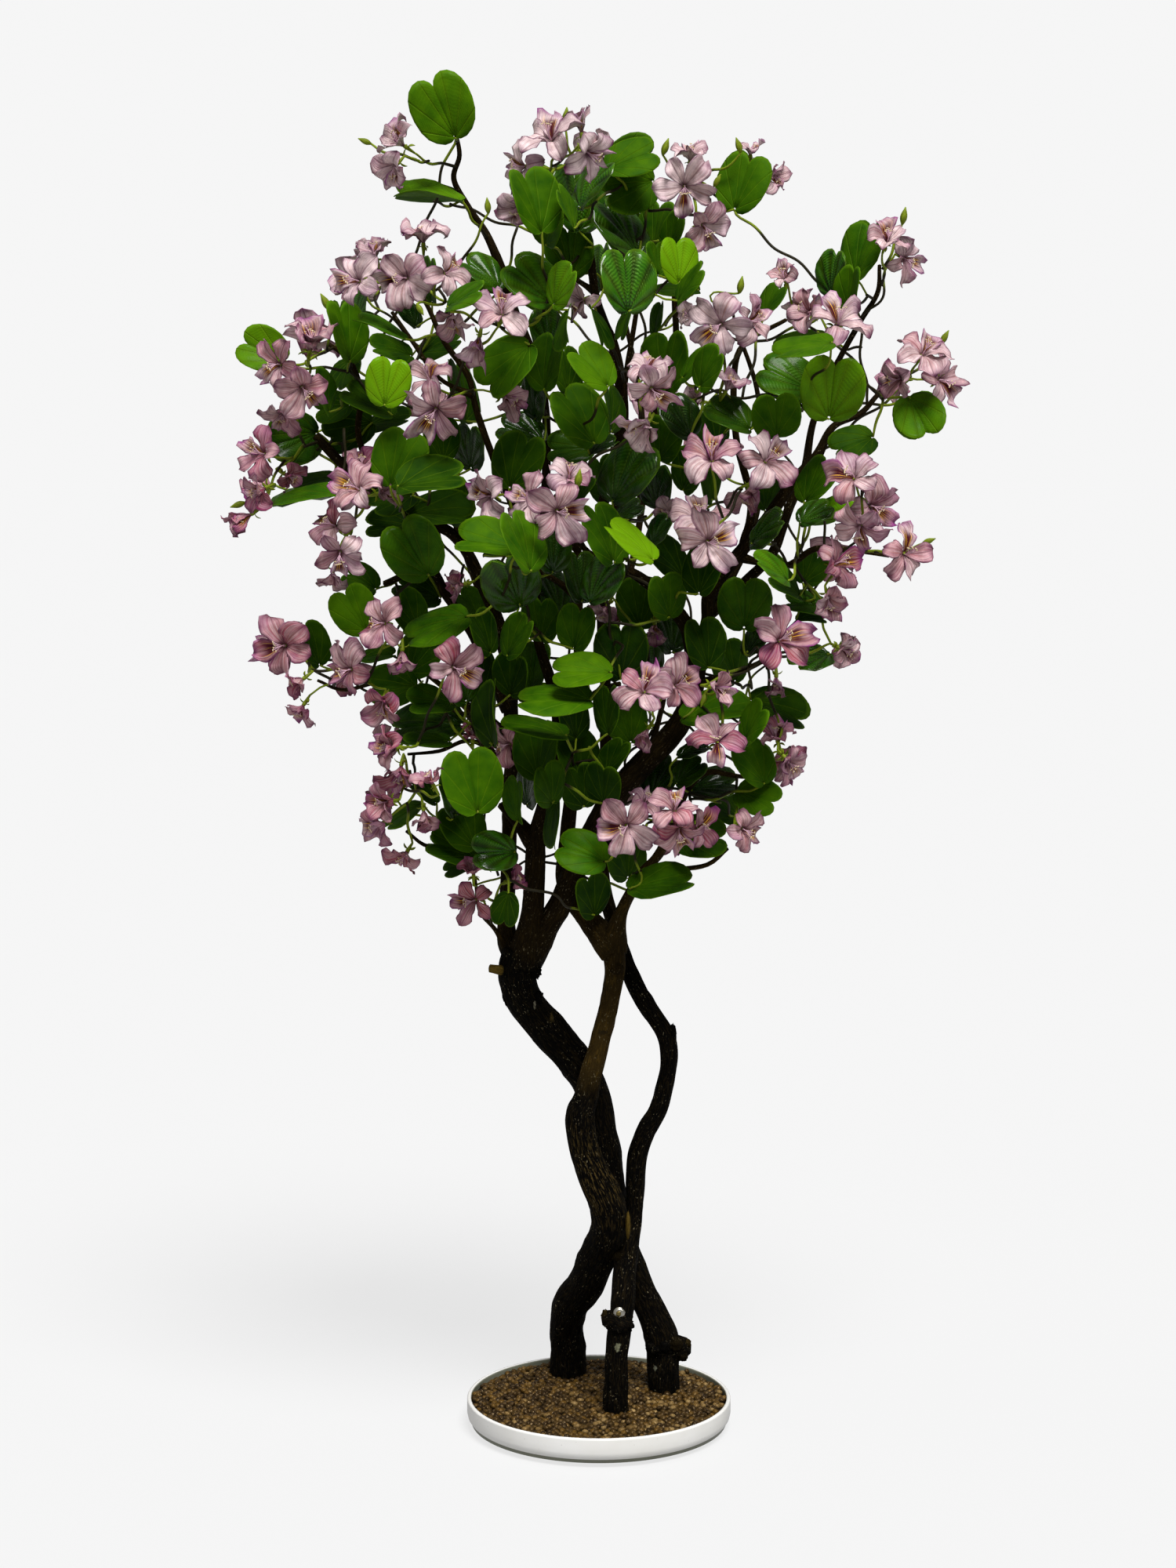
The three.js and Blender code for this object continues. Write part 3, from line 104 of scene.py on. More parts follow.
# Wood, from root to tip: picture place, width in pixels, depth. The first place lies in its parent.
trunks = {
    "trunk_front": [
        [[724, 1751, 46, 112], [723, 1720, 45, 106], [722, 1690, 45, 94], [730, 1660, 46, 74],
            [745, 1640, 46, 56], [755, 1620, 46, 38], [764, 1600, 46, 18], [772, 1580, 45, -4],
            [777, 1562, 45, -18], [775, 1540, 46, -22], [768, 1520, 46, -23], [758, 1500, 44, -23],
            [750, 1480, 41, -23], [744, 1460, 39, -23], [740, 1440, 38, -23], [740, 1420, 36, -23],
            [747, 1400, 29, -20], [757, 1360, 28, -18], [767, 1320, 26, -16], [777, 1280, 24, -13],
            [783, 1240, 26, -10], [783, 1205, 28, -6]],
        [[783, 1215, 24, -8], [765, 1190, 26, 4], [748, 1170, 26, 16], [731, 1146, 25, 26],
            [719, 1118, 22, 30], [722, 1080, 19, 28], [728, 1020, 17, 20], [740, 950, 15, 6],
            [740, 880, 13, -8], [737, 800, 12, -22], [738, 730, 11, -34], [734, 670, 9, -40]],
        [[783, 1210, 22, -6], [788, 1180, 19, -14], [795, 1158, 15, -20], [805, 1138, 14, -26],
            [818, 1114, 13, -32], [840, 1090, 12, -38], [858, 1050, 11, -42], [878, 1005, 10, -34],
            [903, 985, 8, -30], [940, 990, 6, -34], [968, 992, 5, -36]],
        [[822, 1112, 8, -34], [862, 1109, 6, -44], [902, 1103, 6, -50], [928, 1082, 5, -52]],
        [[736, 760, 9, -30], [700, 735, 7, -60], [668, 720, 6, -95]],
        [[736, 700, 8, -38], [700, 668, 6, -90], [690, 640, 5, -150]],
        [[738, 900, 9, -4], [765, 880, 7, -60], [790, 872, 6, -105]],
    ],
    "trunk_back": [
        [[848, 1772, 40, 39], [846, 1750, 42, 40], [843, 1705, 42, 44], [828, 1670, 38, 46],
            [815, 1640, 37, 47], [803, 1610, 37, 47], [792, 1575, 38, 46], [781, 1535, 40, 42],
            [774, 1490, 41, 34], [768, 1450, 42, 31], [762, 1420, 42, 31], [752, 1385, 42, 30],
            [735, 1355, 44, 25], [712, 1330, 45, 17], [690, 1303, 45, 12], [672, 1280, 46, 10],
            [662, 1255, 48, 10], [660, 1235, 48, 11], [664, 1212, 46, 12]],
        [[664, 1225, 26, 16], [647, 1195, 21, 22], [648, 1130, 20, 26], [650, 1050, 19, 24],
            [652, 950, 18, 16], [650, 850, 18, 4], [640, 805, 17, -8], [622, 760, 16, -20],
            [600, 712, 15, -30], [575, 680, 14, -38], [530, 658, 13, -46], [490, 632, 13, -50],
            [445, 600, 13, -48], [403, 556, 11, -42]],
        [[668, 1225, 32, 10], [674, 1195, 28, -2], [680, 1150, 26, -10], [684, 1080, 26, -16],
            [695, 1033, 23, -20], [705, 995, 20, -24], [711, 945, 17, -28], [708, 890, 15, -32],
            [693, 840, 13, -34], [682, 790, 12, -36], [686, 735, 11, -34], [693, 680, 11, -30],
            [697, 600, 11, -22], [696, 530, 11, -14], [684, 465, 11, -8], [657, 400, 12, -4],
            [640, 345, 12, 0], [620, 298, 10, 2], [597, 264, 8, 4], [579, 228, 7, 4],
            [586, 198, 6, 2], [580, 164, 5, 0]],
        [[668, 1222, 32, 14], [690, 1190, 31, 6], [708, 1165, 30, -6], [723, 1135, 30, -16],
            [740, 1097, 31, -20], [760, 1060, 32, -18], [778, 1022, 32, -16], [820, 975, 31, -24],
            [862, 930, 29, -36], [884, 880, 25, -46], [892, 832, 22, -52]],
        [[892, 845, 20, -50], [877, 800, 19, -60], [850, 765, 18, -72], [822, 740, 14, -84],
            [790, 722, 10, -96]],
        [[892, 845, 20, -50], [903, 795, 18, -54], [905, 757, 18, -56], [930, 722, 17, -56],
            [952, 695, 17, -54], [978, 662, 16, -50], [1012, 615, 15, -44], [1040, 585, 14, -40],
            [1062, 545, 9, -36], [1098, 527, 7, -32], [1120, 503, 6, -28], [1146, 478, 5, -24]],
        [[905, 780, 14, -50], [950, 742, 13, -20], [985, 706, 13, 4], [1005, 652, 12, 14],
            [1026, 600, 11, 20], [1037, 540, 9, 20], [1062, 475, 8, 14], [1096, 412, 7, 8],
            [1119, 374, 6, 2], [1122, 338, 5, -2]],
        [[940, 710, 9, -54], [1000, 722, 8, -62], [1040, 700, 8, -70], [1090, 702, 7, -72],
            [1134, 709, 5, -70]],
        [[950, 700, 11, -54], [958, 640, 10, -44], [940, 565, 9, -36], [936, 490, 8, -30],
            [948, 440, 7, -26], [1003, 408, 5, -22]],
        [[888, 872, 9, -50], [940, 858, 8, -66], [984, 838, 6, -78]],
        [[682, 1075, 17, -14], [660, 1048, 15, -8], [638, 1026, 10, -2]],
        [[648, 905, 13, 10], [606, 816, 13, -14], [570, 760, 12, -34], [545, 724, 10, -50],
            [490, 745, 8, -60]],
        [[652, 940, 9, 14], [602, 900, 7, -20], [548, 895, 6, -44], [500, 868, 6, -56],
            [440, 880, 5, -62], [405, 868, 4, -64]],
        [[652, 975, 8, 16], [602, 945, 6, -6], [560, 958, 5, -20], [520, 962, 4, -26]],
        [[648, 1110, 9, 24], [602, 1078, 7, 0], [548, 1080, 5, -18], [518, 1060, 4, -24]],
        [[648, 1215, 9, 18], [632, 1186, 6, -4], [612, 1162, 5, -20], [606, 1120, 4, -26]],
        [[686, 712, 10, -30], [660, 660, 10, -60], [632, 592, 9, -84], [608, 525, 8, -98],
            [597, 480, 8, -102], [566, 435, 7, -106], [545, 390, 6, -106], [520, 345, 5, -100]],
        [[604, 505, 7, -100], [560, 482, 6, -104], [527, 437, 6, -104], [500, 398, 5, -98]],
        [[490, 632, 9, -50], [458, 560, 8, -48], [460, 502, 8, -46], [446, 460, 7, -42],
            [418, 438, 5, -40]],
        [[660, 1236, 12, 8], [640, 1237, 11, 0], [625, 1235, 10, -6]],
        [[843, 1722, 30, 42], [866, 1719, 24, 40], [878, 1716, 16, 38]],
        [[650, 850, 12, 10], [622, 780, 11, 80], [592, 700, 9, 130], [560, 600, 8, 150],
            [540, 515, 6, 140]],
        [[905, 780, 12, -40], [932, 738, 11, 50], [958, 680, 9, 110], [972, 600, 8, 140],
            [966, 500, 6, 135], [940, 420, 5, 115]],
        [[652, 975, 11, 20], [620, 930, 9, 80], [582, 890, 8, 115], [545, 860, 6, 125]],
    ],
    "trunk_right": [
        [[786, 1797, 32, -48], [785, 1760, 30, -47], [786, 1730, 29, -45], [790, 1700, 29, -41],
            [795, 1660, 30, -33], [796, 1640, 29, -25], [798, 1610, 28, -9], [802, 1585, 26, 4],
            [807, 1560, 24, 13], [810, 1530, 23, 15], [811, 1500, 23, 14], [814, 1470, 24, 12],
            [824, 1442, 25, 10], [840, 1415, 23, 8], [850, 1375, 22, 7], [853, 1345, 23, 7],
            [848, 1318, 23, 8], [836, 1298, 22, 11], [822, 1278, 22, 15], [811, 1258, 21, 20],
            [802, 1236, 20, 28], [792, 1208, 19, 38], [780, 1170, 18, 46], [770, 1120, 16, 50],
            [769, 1060, 15, 50], [772, 980, 15, 44], [773, 900, 14, 34], [770, 830, 14, 20],
            [767, 760, 14, 6], [766, 690, 14, -2], [770, 640, 14, -8], [786, 598, 15, -10],
            [791, 560, 16, -12], [793, 500, 16, -12], [788, 468, 15, -10], [781, 436, 14, -6],
            [769, 408, 13, -2], [759, 375, 11, 2], [754, 335, 10, 4], [750, 300, 8, 6],
            [742, 250, 5, 4], [722, 210, 4, 0]],
        [[797, 1694, 24, -41], [781, 1684, 20, -42], [770, 1681, 14, -42]],
        [[792, 520, 8, -12], [803, 450, 7, -26], [813, 385, 6, -36], [819, 300, 5, -40]],
        [[788, 592, 11, -10], [838, 525, 10, 6], [861, 450, 9, 16], [862, 360, 8, 14],
            [886, 322, 7, 6], [903, 275, 6, -2], [940, 245, 5, -4]],
        [[772, 655, 8, -8], [806, 628, 7, -70], [830, 600, 6, -120]],
        [[768, 720, 9, 0], [740, 690, 7, -2], [726, 620, 6, 0], [740, 560, 5, 6]],
        [[771, 850, 11, 26], [790, 780, 10, 95], [812, 690, 9, 145], [822, 590, 8, 165],
            [812, 480, 7, 160], [790, 380, 5, 140]],
        [[770, 1075, 12, 52], [800, 1010, 10, 95], [832, 945, 8, 130], [852, 870, 6, 145]],
        [[758, 372, 7, 4], [722, 345, 6, 60], [696, 300, 5, 96]],
        [[774, 905, 9, 34], [806, 880, 8, 4], [830, 860, 6, -40]],
    ],
}

# Leaves, read from the picture: middle, direction of the tip in degrees, length, width,
# and tone (2 light and nearest the front, 1 middling, 0 dark and deeper in the crown; the dark tones are
# partly the leaves' own colour and partly painted shade inside the crown).
leaves = [
    # Top of the crown
    [564, 137, 114, 80, 76, 2], [547, 250, 172, 85, 28, 1], [680, 255, 105, 85, 58, 1],
    [735, 252, 95, 85, 64, 0], [726, 320, 95, 66, 60, 0], [757, 235, 60, 70, 35, 2],
    [806, 203, 20, 66, 52, 1], [803, 240, 200, 68, 66, 1], [948, 232, 72, 74, 62, 1],
    [790, 290, 125, 85, 52, 0], [865, 332, 92, 58, 46, 2], [798, 358, 95, 80, 66, 2],
    [880, 362, 50, 50, 24, 2], [862, 370, 180, 58, 24, 0], [722, 265, 115, 52, 18, 2],
    # Upper left
    [335, 447, 155, 62, 55, 2], [440, 422, 100, 78, 40, 1], [485, 418, 155, 68, 20, 1],
    [495, 487, 80, 60, 55, 2], [445, 550, 200, 64, 55, 0], [470, 512, 150, 70, 40, 0],
    [375, 560, 200, 60, 66, 1], [615, 350, 140, 60, 38, 1], [593, 380, 20, 50, 32, 2],
    [678, 360, 135, 75, 60, 2], [718, 365, 60, 50, 38, 2], [647, 468, 225, 80, 62, 1],
    [700, 460, 80, 74, 44, 1], [588, 498, 100, 80, 30, 0], [755, 468, 130, 64, 48, 2],
    [738, 530, 120, 82, 60, 1], [665, 553, 160, 62, 44, 0], [727, 572, 180, 58, 45, 0],
    # Upper right
    [850, 462, 90, 78, 56, 0], [1004, 484, 155, 76, 58, 1], [930, 532, 150, 64, 42, 1],
    [1100, 318, 75, 72, 44, 0], [1086, 368, 85, 56, 26, 2], [1024, 443, 190, 76, 34, 2],
    [1062, 495, 85, 74, 78, 2], [1172, 530, 290, 56, 62, 2],
    # Middle left
    [388, 637, 190, 85, 24, 2], [510, 585, 70, 74, 66, 1], [550, 612, 10, 86, 50, 1],
    [563, 655, 0, 86, 46, 0], [498, 670, 180, 62, 40, 0], [527, 700, 120, 78, 72, 1],
    [533, 752, 160, 62, 48, 0], [452, 778, 120, 62, 56, 1], [557, 800, 200, 82, 44, 2],
    [622, 692, 170, 80, 48, 2], [664, 690, 110, 80, 44, 2], [652, 742, 110, 62, 72, 1],
    [738, 735, 95, 64, 44, 0], [768, 740, 60, 64, 46, 0], [770, 680, 110, 80, 50, 1],
    # Middle right
    [802, 602, 60, 84, 62, 0], [805, 690, 140, 74, 34, 2], [985, 727, 150, 50, 28, 2],
    [950, 770, 90, 62, 66, 0], [898, 820, 100, 64, 50, 0], [792, 830, 90, 70, 66, 0],
    [1060, 656, 10, 50, 30, 2], [1030, 771, 170, 58, 30, 0], [993, 905, 340, 76, 46, 0],
    [915, 908, 10, 90, 40, 1], [960, 972, 120, 62, 46, 1], [966, 1017, 340, 52, 46, 2],
    # Lower crown
    [742, 857, 180, 74, 42, 2], [707, 892, 180, 92, 40, 2], [500, 875, 180, 60, 52, 0],
    [545, 927, 185, 95, 52, 0], [628, 908, 90, 84, 28, 0], [680, 930, 170, 85, 22, 1],
    [602, 996, 100, 82, 72, 2], [590, 1053, 120, 64, 52, 0], [577, 1082, 160, 64, 44, 0],
    [735, 962, 100, 64, 50, 0], [742, 1088, 160, 64, 52, 2], [893, 1068, 0, 68, 52, 0],
    [843, 1127, 10, 82, 36, 1],
]

# Flowers, read from the picture: throat, petal length in pixels, direction it faces in degrees,
# how far it is turned from the viewer, opening (2 wide, 1 half, 0 hanging), direction of the
# lip petal, and layer (0 front, 1 middle, 2 inside the crown).
flowers = [
    # Top of the crown
    [517, 187, 44, 150, 60, 1, 130, 0], [508, 208, 42, 235, 60, 1, 250, 0],
    [705, 182, 50, 120, 40, 2, 100, 0], [672, 212, 42, 190, 50, 2, 170, 0],
    [690, 224, 30, 250, 50, 1, 260, 1], [746, 192, 46, 320, 50, 2, 330, 0],
    [742, 172, 38, 100, 75, 0, 100, 1], [665, 262, 36, 220, 40, 1, 240, 2],
    [873, 237, 50, 270, 15, 2, 270, 0], [894, 285, 44, 310, 40, 2, 300, 0],
    [880, 207, 38, 90, 60, 1, 90, 1], [957, 200, 28, 90, 65, 1, 60, 1],
    [978, 225, 34, 350, 55, 1, 330, 1], [1130, 312, 40, 70, 45, 2, 90, 0],
    [1150, 328, 38, 320, 40, 2, 330, 0],
    # Upper left
    [460, 360, 46, 170, 30, 2, 180, 0], [520, 355, 50, 200, 20, 2, 190, 0],
    [480, 330, 36, 110, 60, 1, 100, 1], [540, 312, 38, 90, 65, 1, 100, 1],
    [566, 350, 42, 20, 40, 2, 40, 0], [577, 398, 38, 270, 60, 1, 270, 1],
    [640, 403, 48, 90, 25, 2, 90, 0], [612, 428, 46, 260, 75, 0, 260, 0],
    [745, 382, 32, 220, 40, 2, 220, 2], [551, 487, 44, 130, 45, 2, 100, 0],
    [557, 520, 50, 250, 30, 2, 240, 0], [640, 505, 40, 330, 50, 1, 330, 1],
    [395, 448, 54, 80, 50, 1, 90, 0], [360, 465, 42, 190, 35, 2, 200, 0],
    [385, 492, 46, 300, 30, 2, 310, 0], [365, 520, 38, 250, 60, 1, 250, 1],
    # Far left
    [340, 580, 42, 170, 40, 2, 150, 0], [340, 622, 40, 210, 50, 1, 200, 0],
    [362, 604, 32, 330, 60, 1, 330, 1], [322, 655, 42, 215, 75, 0, 215, 0],
    [460, 626, 46, 150, 30, 2, 160, 0], [482, 630, 38, 10, 55, 1, 0, 1],
    [462, 600, 34, 90, 60, 1, 90, 2], [430, 672, 42, 160, 35, 2, 150, 0],
    [434, 702, 44, 270, 30, 2, 270, 0], [425, 728, 34, 260, 65, 1, 260, 1],
    # Centre and right of centre
    [920, 413, 52, 230, 20, 2, 220, 0], [952, 410, 42, 0, 45, 2, 20, 0],
    [885, 405, 30, 160, 55, 1, 160, 1], [825, 478, 42, 90, 45, 2, 80, 0],
    [830, 494, 42, 300, 35, 2, 310, 0], [828, 537, 46, 240, 55, 1, 200, 0],
    [908, 590, 52, 95, 35, 2, 90, 0], [925, 500, 38, 60, 60, 1, 60, 1],
    [893, 512, 28, 180, 50, 1, 180, 2], [1002, 358, 30, 120, 40, 1, 110, 1],
    [1066, 416, 50, 60, 35, 2, 90, 0], [1036, 400, 38, 160, 45, 1, 150, 1],
    [1175, 455, 46, 60, 40, 2, 60, 0], [1195, 485, 42, 350, 40, 2, 330, 0],
    [1152, 482, 42, 200, 45, 1, 190, 0], [975, 590, 50, 40, 25, 2, 40, 0],
    [957, 622, 38, 250, 60, 1, 250, 2], [893, 668, 50, 95, 40, 2, 90, 1],
    [902, 690, 52, 300, 15, 2, 10, 0], [860, 655, 30, 180, 60, 1, 180, 2],
    [630, 632, 42, 190, 50, 2, 180, 1], [680, 638, 44, 170, 35, 2, 160, 0],
    [725, 614, 44, 80, 40, 2, 80, 0], [710, 650, 52, 300, 20, 2, 0, 0],
    [593, 745, 30, 200, 60, 1, 200, 2], [775, 772, 36, 240, 60, 1, 240, 2],
    [835, 795, 32, 270, 75, 0, 270, 2],
    # Right
    [1090, 612, 46, 120, 25, 2, 160, 0], [1108, 645, 44, 340, 30, 2, 330, 0],
    [1098, 668, 46, 250, 40, 2, 260, 0], [1152, 706, 44, 340, 20, 2, 70, 0],
    [1062, 722, 42, 30, 45, 2, 20, 0], [1055, 758, 38, 280, 50, 1, 280, 0],
    [992, 818, 50, 30, 20, 2, 20, 0], [1070, 826, 34, 330, 50, 1, 330, 0],
    [990, 862, 32, 270, 75, 0, 270, 1],
    # Left of the lower crown
    [365, 823, 48, 200, 15, 2, 190, 0], [388, 865, 32, 220, 65, 1, 210, 0],
    [388, 898, 32, 240, 65, 1, 240, 0], [492, 795, 42, 180, 30, 2, 180, 0],
    [513, 828, 34, 270, 75, 0, 270, 0], [450, 853, 42, 200, 35, 2, 200, 0],
    [577, 850, 48, 330, 25, 2, 330, 0], [490, 890, 42, 260, 50, 1, 260, 0],
    [507, 953, 38, 180, 55, 1, 180, 0], [512, 975, 42, 260, 70, 1, 260, 0],
    [498, 1022, 38, 190, 50, 1, 180, 0], [490, 1048, 38, 220, 50, 1, 200, 0],
    [520, 1085, 36, 240, 50, 1, 230, 0], [540, 1032, 32, 280, 70, 0, 280, 0],
    [553, 1002, 32, 120, 65, 1, 120, 0], [652, 948, 34, 200, 40, 2, 200, 2],
    [603, 945, 28, 90, 50, 1, 90, 2], [608, 1147, 40, 200, 30, 2, 190, 0],
    [604, 1117, 32, 90, 55, 1, 80, 1], [650, 1124, 28, 20, 60, 1, 20, 1],
    # Right of the lower crown
    [822, 884, 46, 110, 30, 2, 80, 0], [860, 875, 46, 20, 25, 2, 30, 0],
    [906, 876, 40, 350, 55, 1, 340, 0], [828, 928, 32, 240, 70, 0, 240, 1],
    [915, 948, 46, 100, 35, 2, 265, 0], [1000, 965, 40, 310, 55, 1, 310, 0],
    [992, 946, 32, 110, 60, 1, 100, 1], [799, 1052, 48, 270, 12, 2, 200, 0],
    [820, 1028, 34, 60, 45, 2, 60, 1], [860, 1036, 42, 80, 35, 2, 80, 0],
    [866, 1054, 42, 270, 40, 2, 280, 0], [888, 1056, 36, 350, 30, 2, 30, 0],
    [945, 1056, 38, 330, 35, 2, 330, 0],
]

# Places on the wood where a leafy spray or a flower stalk leaves it, with a depth on the far side
sprayRoots = [
    [583, 178], [625, 308], [751, 305], [818, 305], [862, 380], [1117, 380],
    [1060, 480], [938, 520], [694, 520], [560, 428], [447, 465], [440, 596], [530, 658],
    [668, 722], [806, 730], [1000, 722], [962, 848], [878, 1005], [735, 965],
    [604, 905], [602, 1078], [545, 530, 142], [818, 560, 164],
    [968, 540, 138], [600, 905, 100],
]
bloomRoots = [
    [582, 212], [728, 224], [900, 285], [1088, 428], [530, 362], [604, 505],
    [424, 442], [408, 560], [450, 604], [950, 436], [796, 488], [1138, 485], [958, 640],
    [692, 642], [1080, 702], [984, 838], [425, 874], [556, 895], [525, 962], [625, 1178],
    [830, 862], [940, 990], [850, 1068], [575, 650, 142], [814, 660, 150],
    [970, 620, 138], [838, 920, 136],
]

# Near pieces with a twin on the far side of the crown: every fourth leaf and every tenth flower
farEvery = {"leaf": 4, "flower": 10, "flowerFrom": 5, "share": 0.7}

# How far out in the crown's depth a piece sits: leaves by tone, flowers by layer, and buds
shareOut = {"tone": [0.25, 0.62, 0.92], "layer": [0.95, 0.6, 0.2], "bud": 0.9}

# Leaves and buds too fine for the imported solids: a leaf as above, a bud as place, direction, length
moreLeaves = [
    [410, 500, 110, 50, 22, 1], [550, 357, 90, 55, 24, 0], [892, 467, 30, 50, 28, 1],
    [990, 530, 95, 50, 60, 1], [1064, 348, 85, 56, 32, 1], [1088, 566, 200, 56, 44, 0],
    [405, 615, 200, 52, 24, 0], [398, 822, 110, 56, 34, 0], [838, 620, 90, 54, 40, 0],
    [930, 845, 110, 52, 48, 0], [800, 920, 100, 56, 50, 0], [548, 897, 180, 54, 36, 1],
    [612, 855, 100, 54, 36, 0], [630, 1087, 180, 54, 48, 1], [515, 1040, 215, 56, 20, 1],
    [740, 1003, 100, 54, 48, 0], [660, 1020, 90, 54, 24, 1], [797, 1095, 100, 52, 48, 0],
    [860, 300, 75, 52, 26, 1], [838, 330, 95, 44, 30, 1], [700, 285, 80, 50, 40, 0],
    [460, 392, 80, 46, 20, 1], [520, 398, 120, 44, 24, 0], [424, 520, 190, 46, 40, 0],
    [905, 545, 110, 56, 44, 0], [880, 600, 70, 52, 40, 0], [846, 560, 80, 50, 44, 0],
    [770, 610, 100, 56, 44, 0], [700, 700, 100, 60, 46, 0], [690, 790, 90, 54, 46, 0],
    [736, 800, 80, 56, 46, 0], [850, 760, 100, 54, 48, 0], [820, 840, 120, 54, 48, 0],
    [1040, 655, 30, 46, 30, 1], [722, 418, 265, 50, 16, 1], [590, 870, 100, 50, 40, 0],
    [655, 860, 80, 52, 44, 0], [700, 1000, 100, 50, 40, 0], [540, 1010, 140, 44, 20, 0],
    [645, 1160, 260, 42, 34, 0], [770, 1000, 90, 50, 44, 0], [880, 985, 40, 46, 30, 0],
    [560, 560, 100, 56, 44, 0], [600, 570, 90, 54, 40, 0], [500, 640, 200, 54, 40, 0],
    [580, 640, 110, 54, 40, 0], [460, 740, 150, 46, 40, 0], [520, 780, 120, 50, 40, 0],
    [838, 286, 80, 60, 44, 0], [696, 420, 100, 56, 40, 0], [722, 470, 95, 60, 36, 0],
    [778, 520, 95, 60, 22, 0], [562, 440, 20, 56, 36, 0], [500, 447, 170, 50, 34, 0],
    [438, 478, 250, 50, 36, 0], [495, 537, 10, 56, 30, 0], [662, 588, 70, 74, 62, 0],
    [682, 508, 90, 50, 30, 0], [866, 532, 120, 58, 46, 0], [905, 470, 60, 50, 36, 1],
    [1042, 612, 60, 64, 40, 1], [905, 612, 100, 50, 30, 0], [985, 627, 70, 50, 36, 0],
    [852, 712, 130, 62, 42, 0], [896, 728, 80, 60, 46, 0], [978, 676, 40, 50, 30, 0],
    [1000, 746, 150, 50, 30, 0], [705, 757, 110, 62, 44, 0], [816, 768, 90, 64, 54, 0],
    [852, 802, 100, 60, 44, 0], [600, 776, 120, 58, 38, 0], [616, 806, 110, 56, 32, 0],
    [535, 834, 60, 56, 52, 0], [660, 812, 60, 56, 36, 0], [682, 850, 80, 62, 42, 0],
    [686, 956, 90, 74, 54, 0], [676, 1002, 80, 50, 30, 0], [845, 992, 60, 60, 44, 0],
    [910, 1002, 10, 62, 38, 0], [925, 1032, 150, 50, 36, 0], [754, 1142, 100, 52, 42, 0],
    [962, 922, 60, 50, 30, 1], [1036, 842, 200, 50, 34, 1], [985, 382, 60, 44, 26, 1],
    [576, 1012, 100, 56, 30, 0], [775, 905, 90, 62, 30, 0], [730, 915, 100, 56, 36, 0],
    [1035, 725, 60, 44, 40, 0], [545, 945, 180, 56, 20, 1], [768, 340, 90, 60, 26, 0],
    [764, 418, 290, 56, 14, 0], [797, 412, 250, 46, 14, 0], [838, 405, 80, 42, 14, 0],
    [785, 965, 60, 48, 30, 0], [482, 836, 10, 46, 20, 0], [962, 818, 60, 40, 26, 0],
    [585, 1106, 200, 40, 22, 0], [885, 958, 20, 42, 18, 0], [1035, 790, 0, 38, 16, 0],
    [842, 675, 60, 44, 24, 0], [802, 652, 30, 40, 24, 0], [706, 1052, 265, 62, 18, 0],
    [770, 570, 30, 40, 18, 0], [640, 705, 10, 46, 16, 0], [745, 625, 60, 40, 20, 0],
]
buds = [
    [849, 187, 70, 22], [915, 230, 60, 18], [942, 185, 110, 20], [415, 385, 120, 24],
    [1153, 275, 80, 22], [1205, 430, 60, 20], [1200, 478, 20, 18], [738, 610, 80, 24],
    [1185, 690, 20, 18], [897, 893, 250, 20], [303, 644, 200, 20], [465, 180, 160, 18],
    [945, 363, 80, 22], [622, 262, 95, 20], [722, 150, 85, 26], [536, 395, 300, 18],
    [1096, 640, 330, 18], [470, 372, 200, 18],
]

# Measures of the crown, in millimetres unless a share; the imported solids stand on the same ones
stem = {"twig": 2.1, "petiole": 1.4, "root": 1.9, "taper": 0.1, "reach": 42, "stalk": 27, "sag": 4,
    "calyx": 15, "spur": 22, "collar": 2, "start": 4, "clear": 3.4}
crown = {"u": 760, "v": 640, "halfWide": 480, "halfHigh": 570, "halfDeep": 280, "flattest": 0.05,
    "step": 19, "clear": 13, "blade": 3, "tries": 15, "jitter": 36, "search": 45}
leafForm = {"width": 0.9, "fold": 0.2, "droop": 0.14, "droopFrom": 0.4, "shortest": 58, "longest": 92,
    "small": 50, "widest": 1.1, "mostRoll": 1.25}
flowerForm = {"petals": 5, "spread": [28, 52, 76], "lipOpening": 8, "lipToward": 0.3, "budToward": 0.25}

# What stands in the crown: places with a radius, whose group and whose item they are
mostMarks = 60000
farAway = 1e9
markSteps = {"wood": 9, "stalk": 6}
marks = {"at": np.zeros((mostMarks, 3)), "r": np.zeros(mostMarks), "group": np.full(mostMarks, -1),
    "item": np.full(mostMarks, -1), "count": 0}
woodRows = []


def addMark(at, r, group=-1, item=-1):
    i = marks["count"]
    marks["at"][i] = at
    marks["r"][i] = r
    marks["group"][i] = group
    marks["item"][i] = item
    marks["count"] = i + 1


def markWood(rows):
    for before, row in zip(rows, rows[1:]):
        a, b = np.array(before, float), np.array(row, float)
        steps = math.ceil(math.hypot(b[0] - a[0], b[1] - a[1], b[3] - a[3]) / markSteps["wood"])
        for s in range(steps):
            u, v, width, y = a + (b - a) * s / steps
            r = width * pixelSize(v, y) / 2
            addMark(place(u, v, y), r)
            woodRows.append((u, v, y, r))


for limbs in trunks.values():
    for rows in limbs:
        markWood(rows)
woodRows = np.array(woodRows)


# The least distance from the given points to what stands there, within a margin
def room(points, ownGroup=None, ownItem=None):
    count = marks["count"]
    at = marks["at"][:count]
    low, high = points.min(axis=0) - crown["search"], points.max(axis=0) + crown["search"]
    near = np.all((at > low) & (at < high), axis=1)
    if ownGroup is not None:
        near &= (marks["group"][:count] != ownGroup) & (marks["item"][:count] != ownItem)
    if not near.any():
        return farAway
    apart = np.linalg.norm(points[:, None, :] - at[near][None, :, :], axis=2)
    return (apart - marks["r"][:count][near]).min()


# How deep the crown is at a place in the picture, as a share of its half depth
def bulge(u, v):
    x = (u - crown["u"]) / crown["halfWide"]
    z = (v - crown["v"]) / crown["halfHigh"]
    return math.sqrt(max(crown["flattest"], 1 - x * x - z * z))


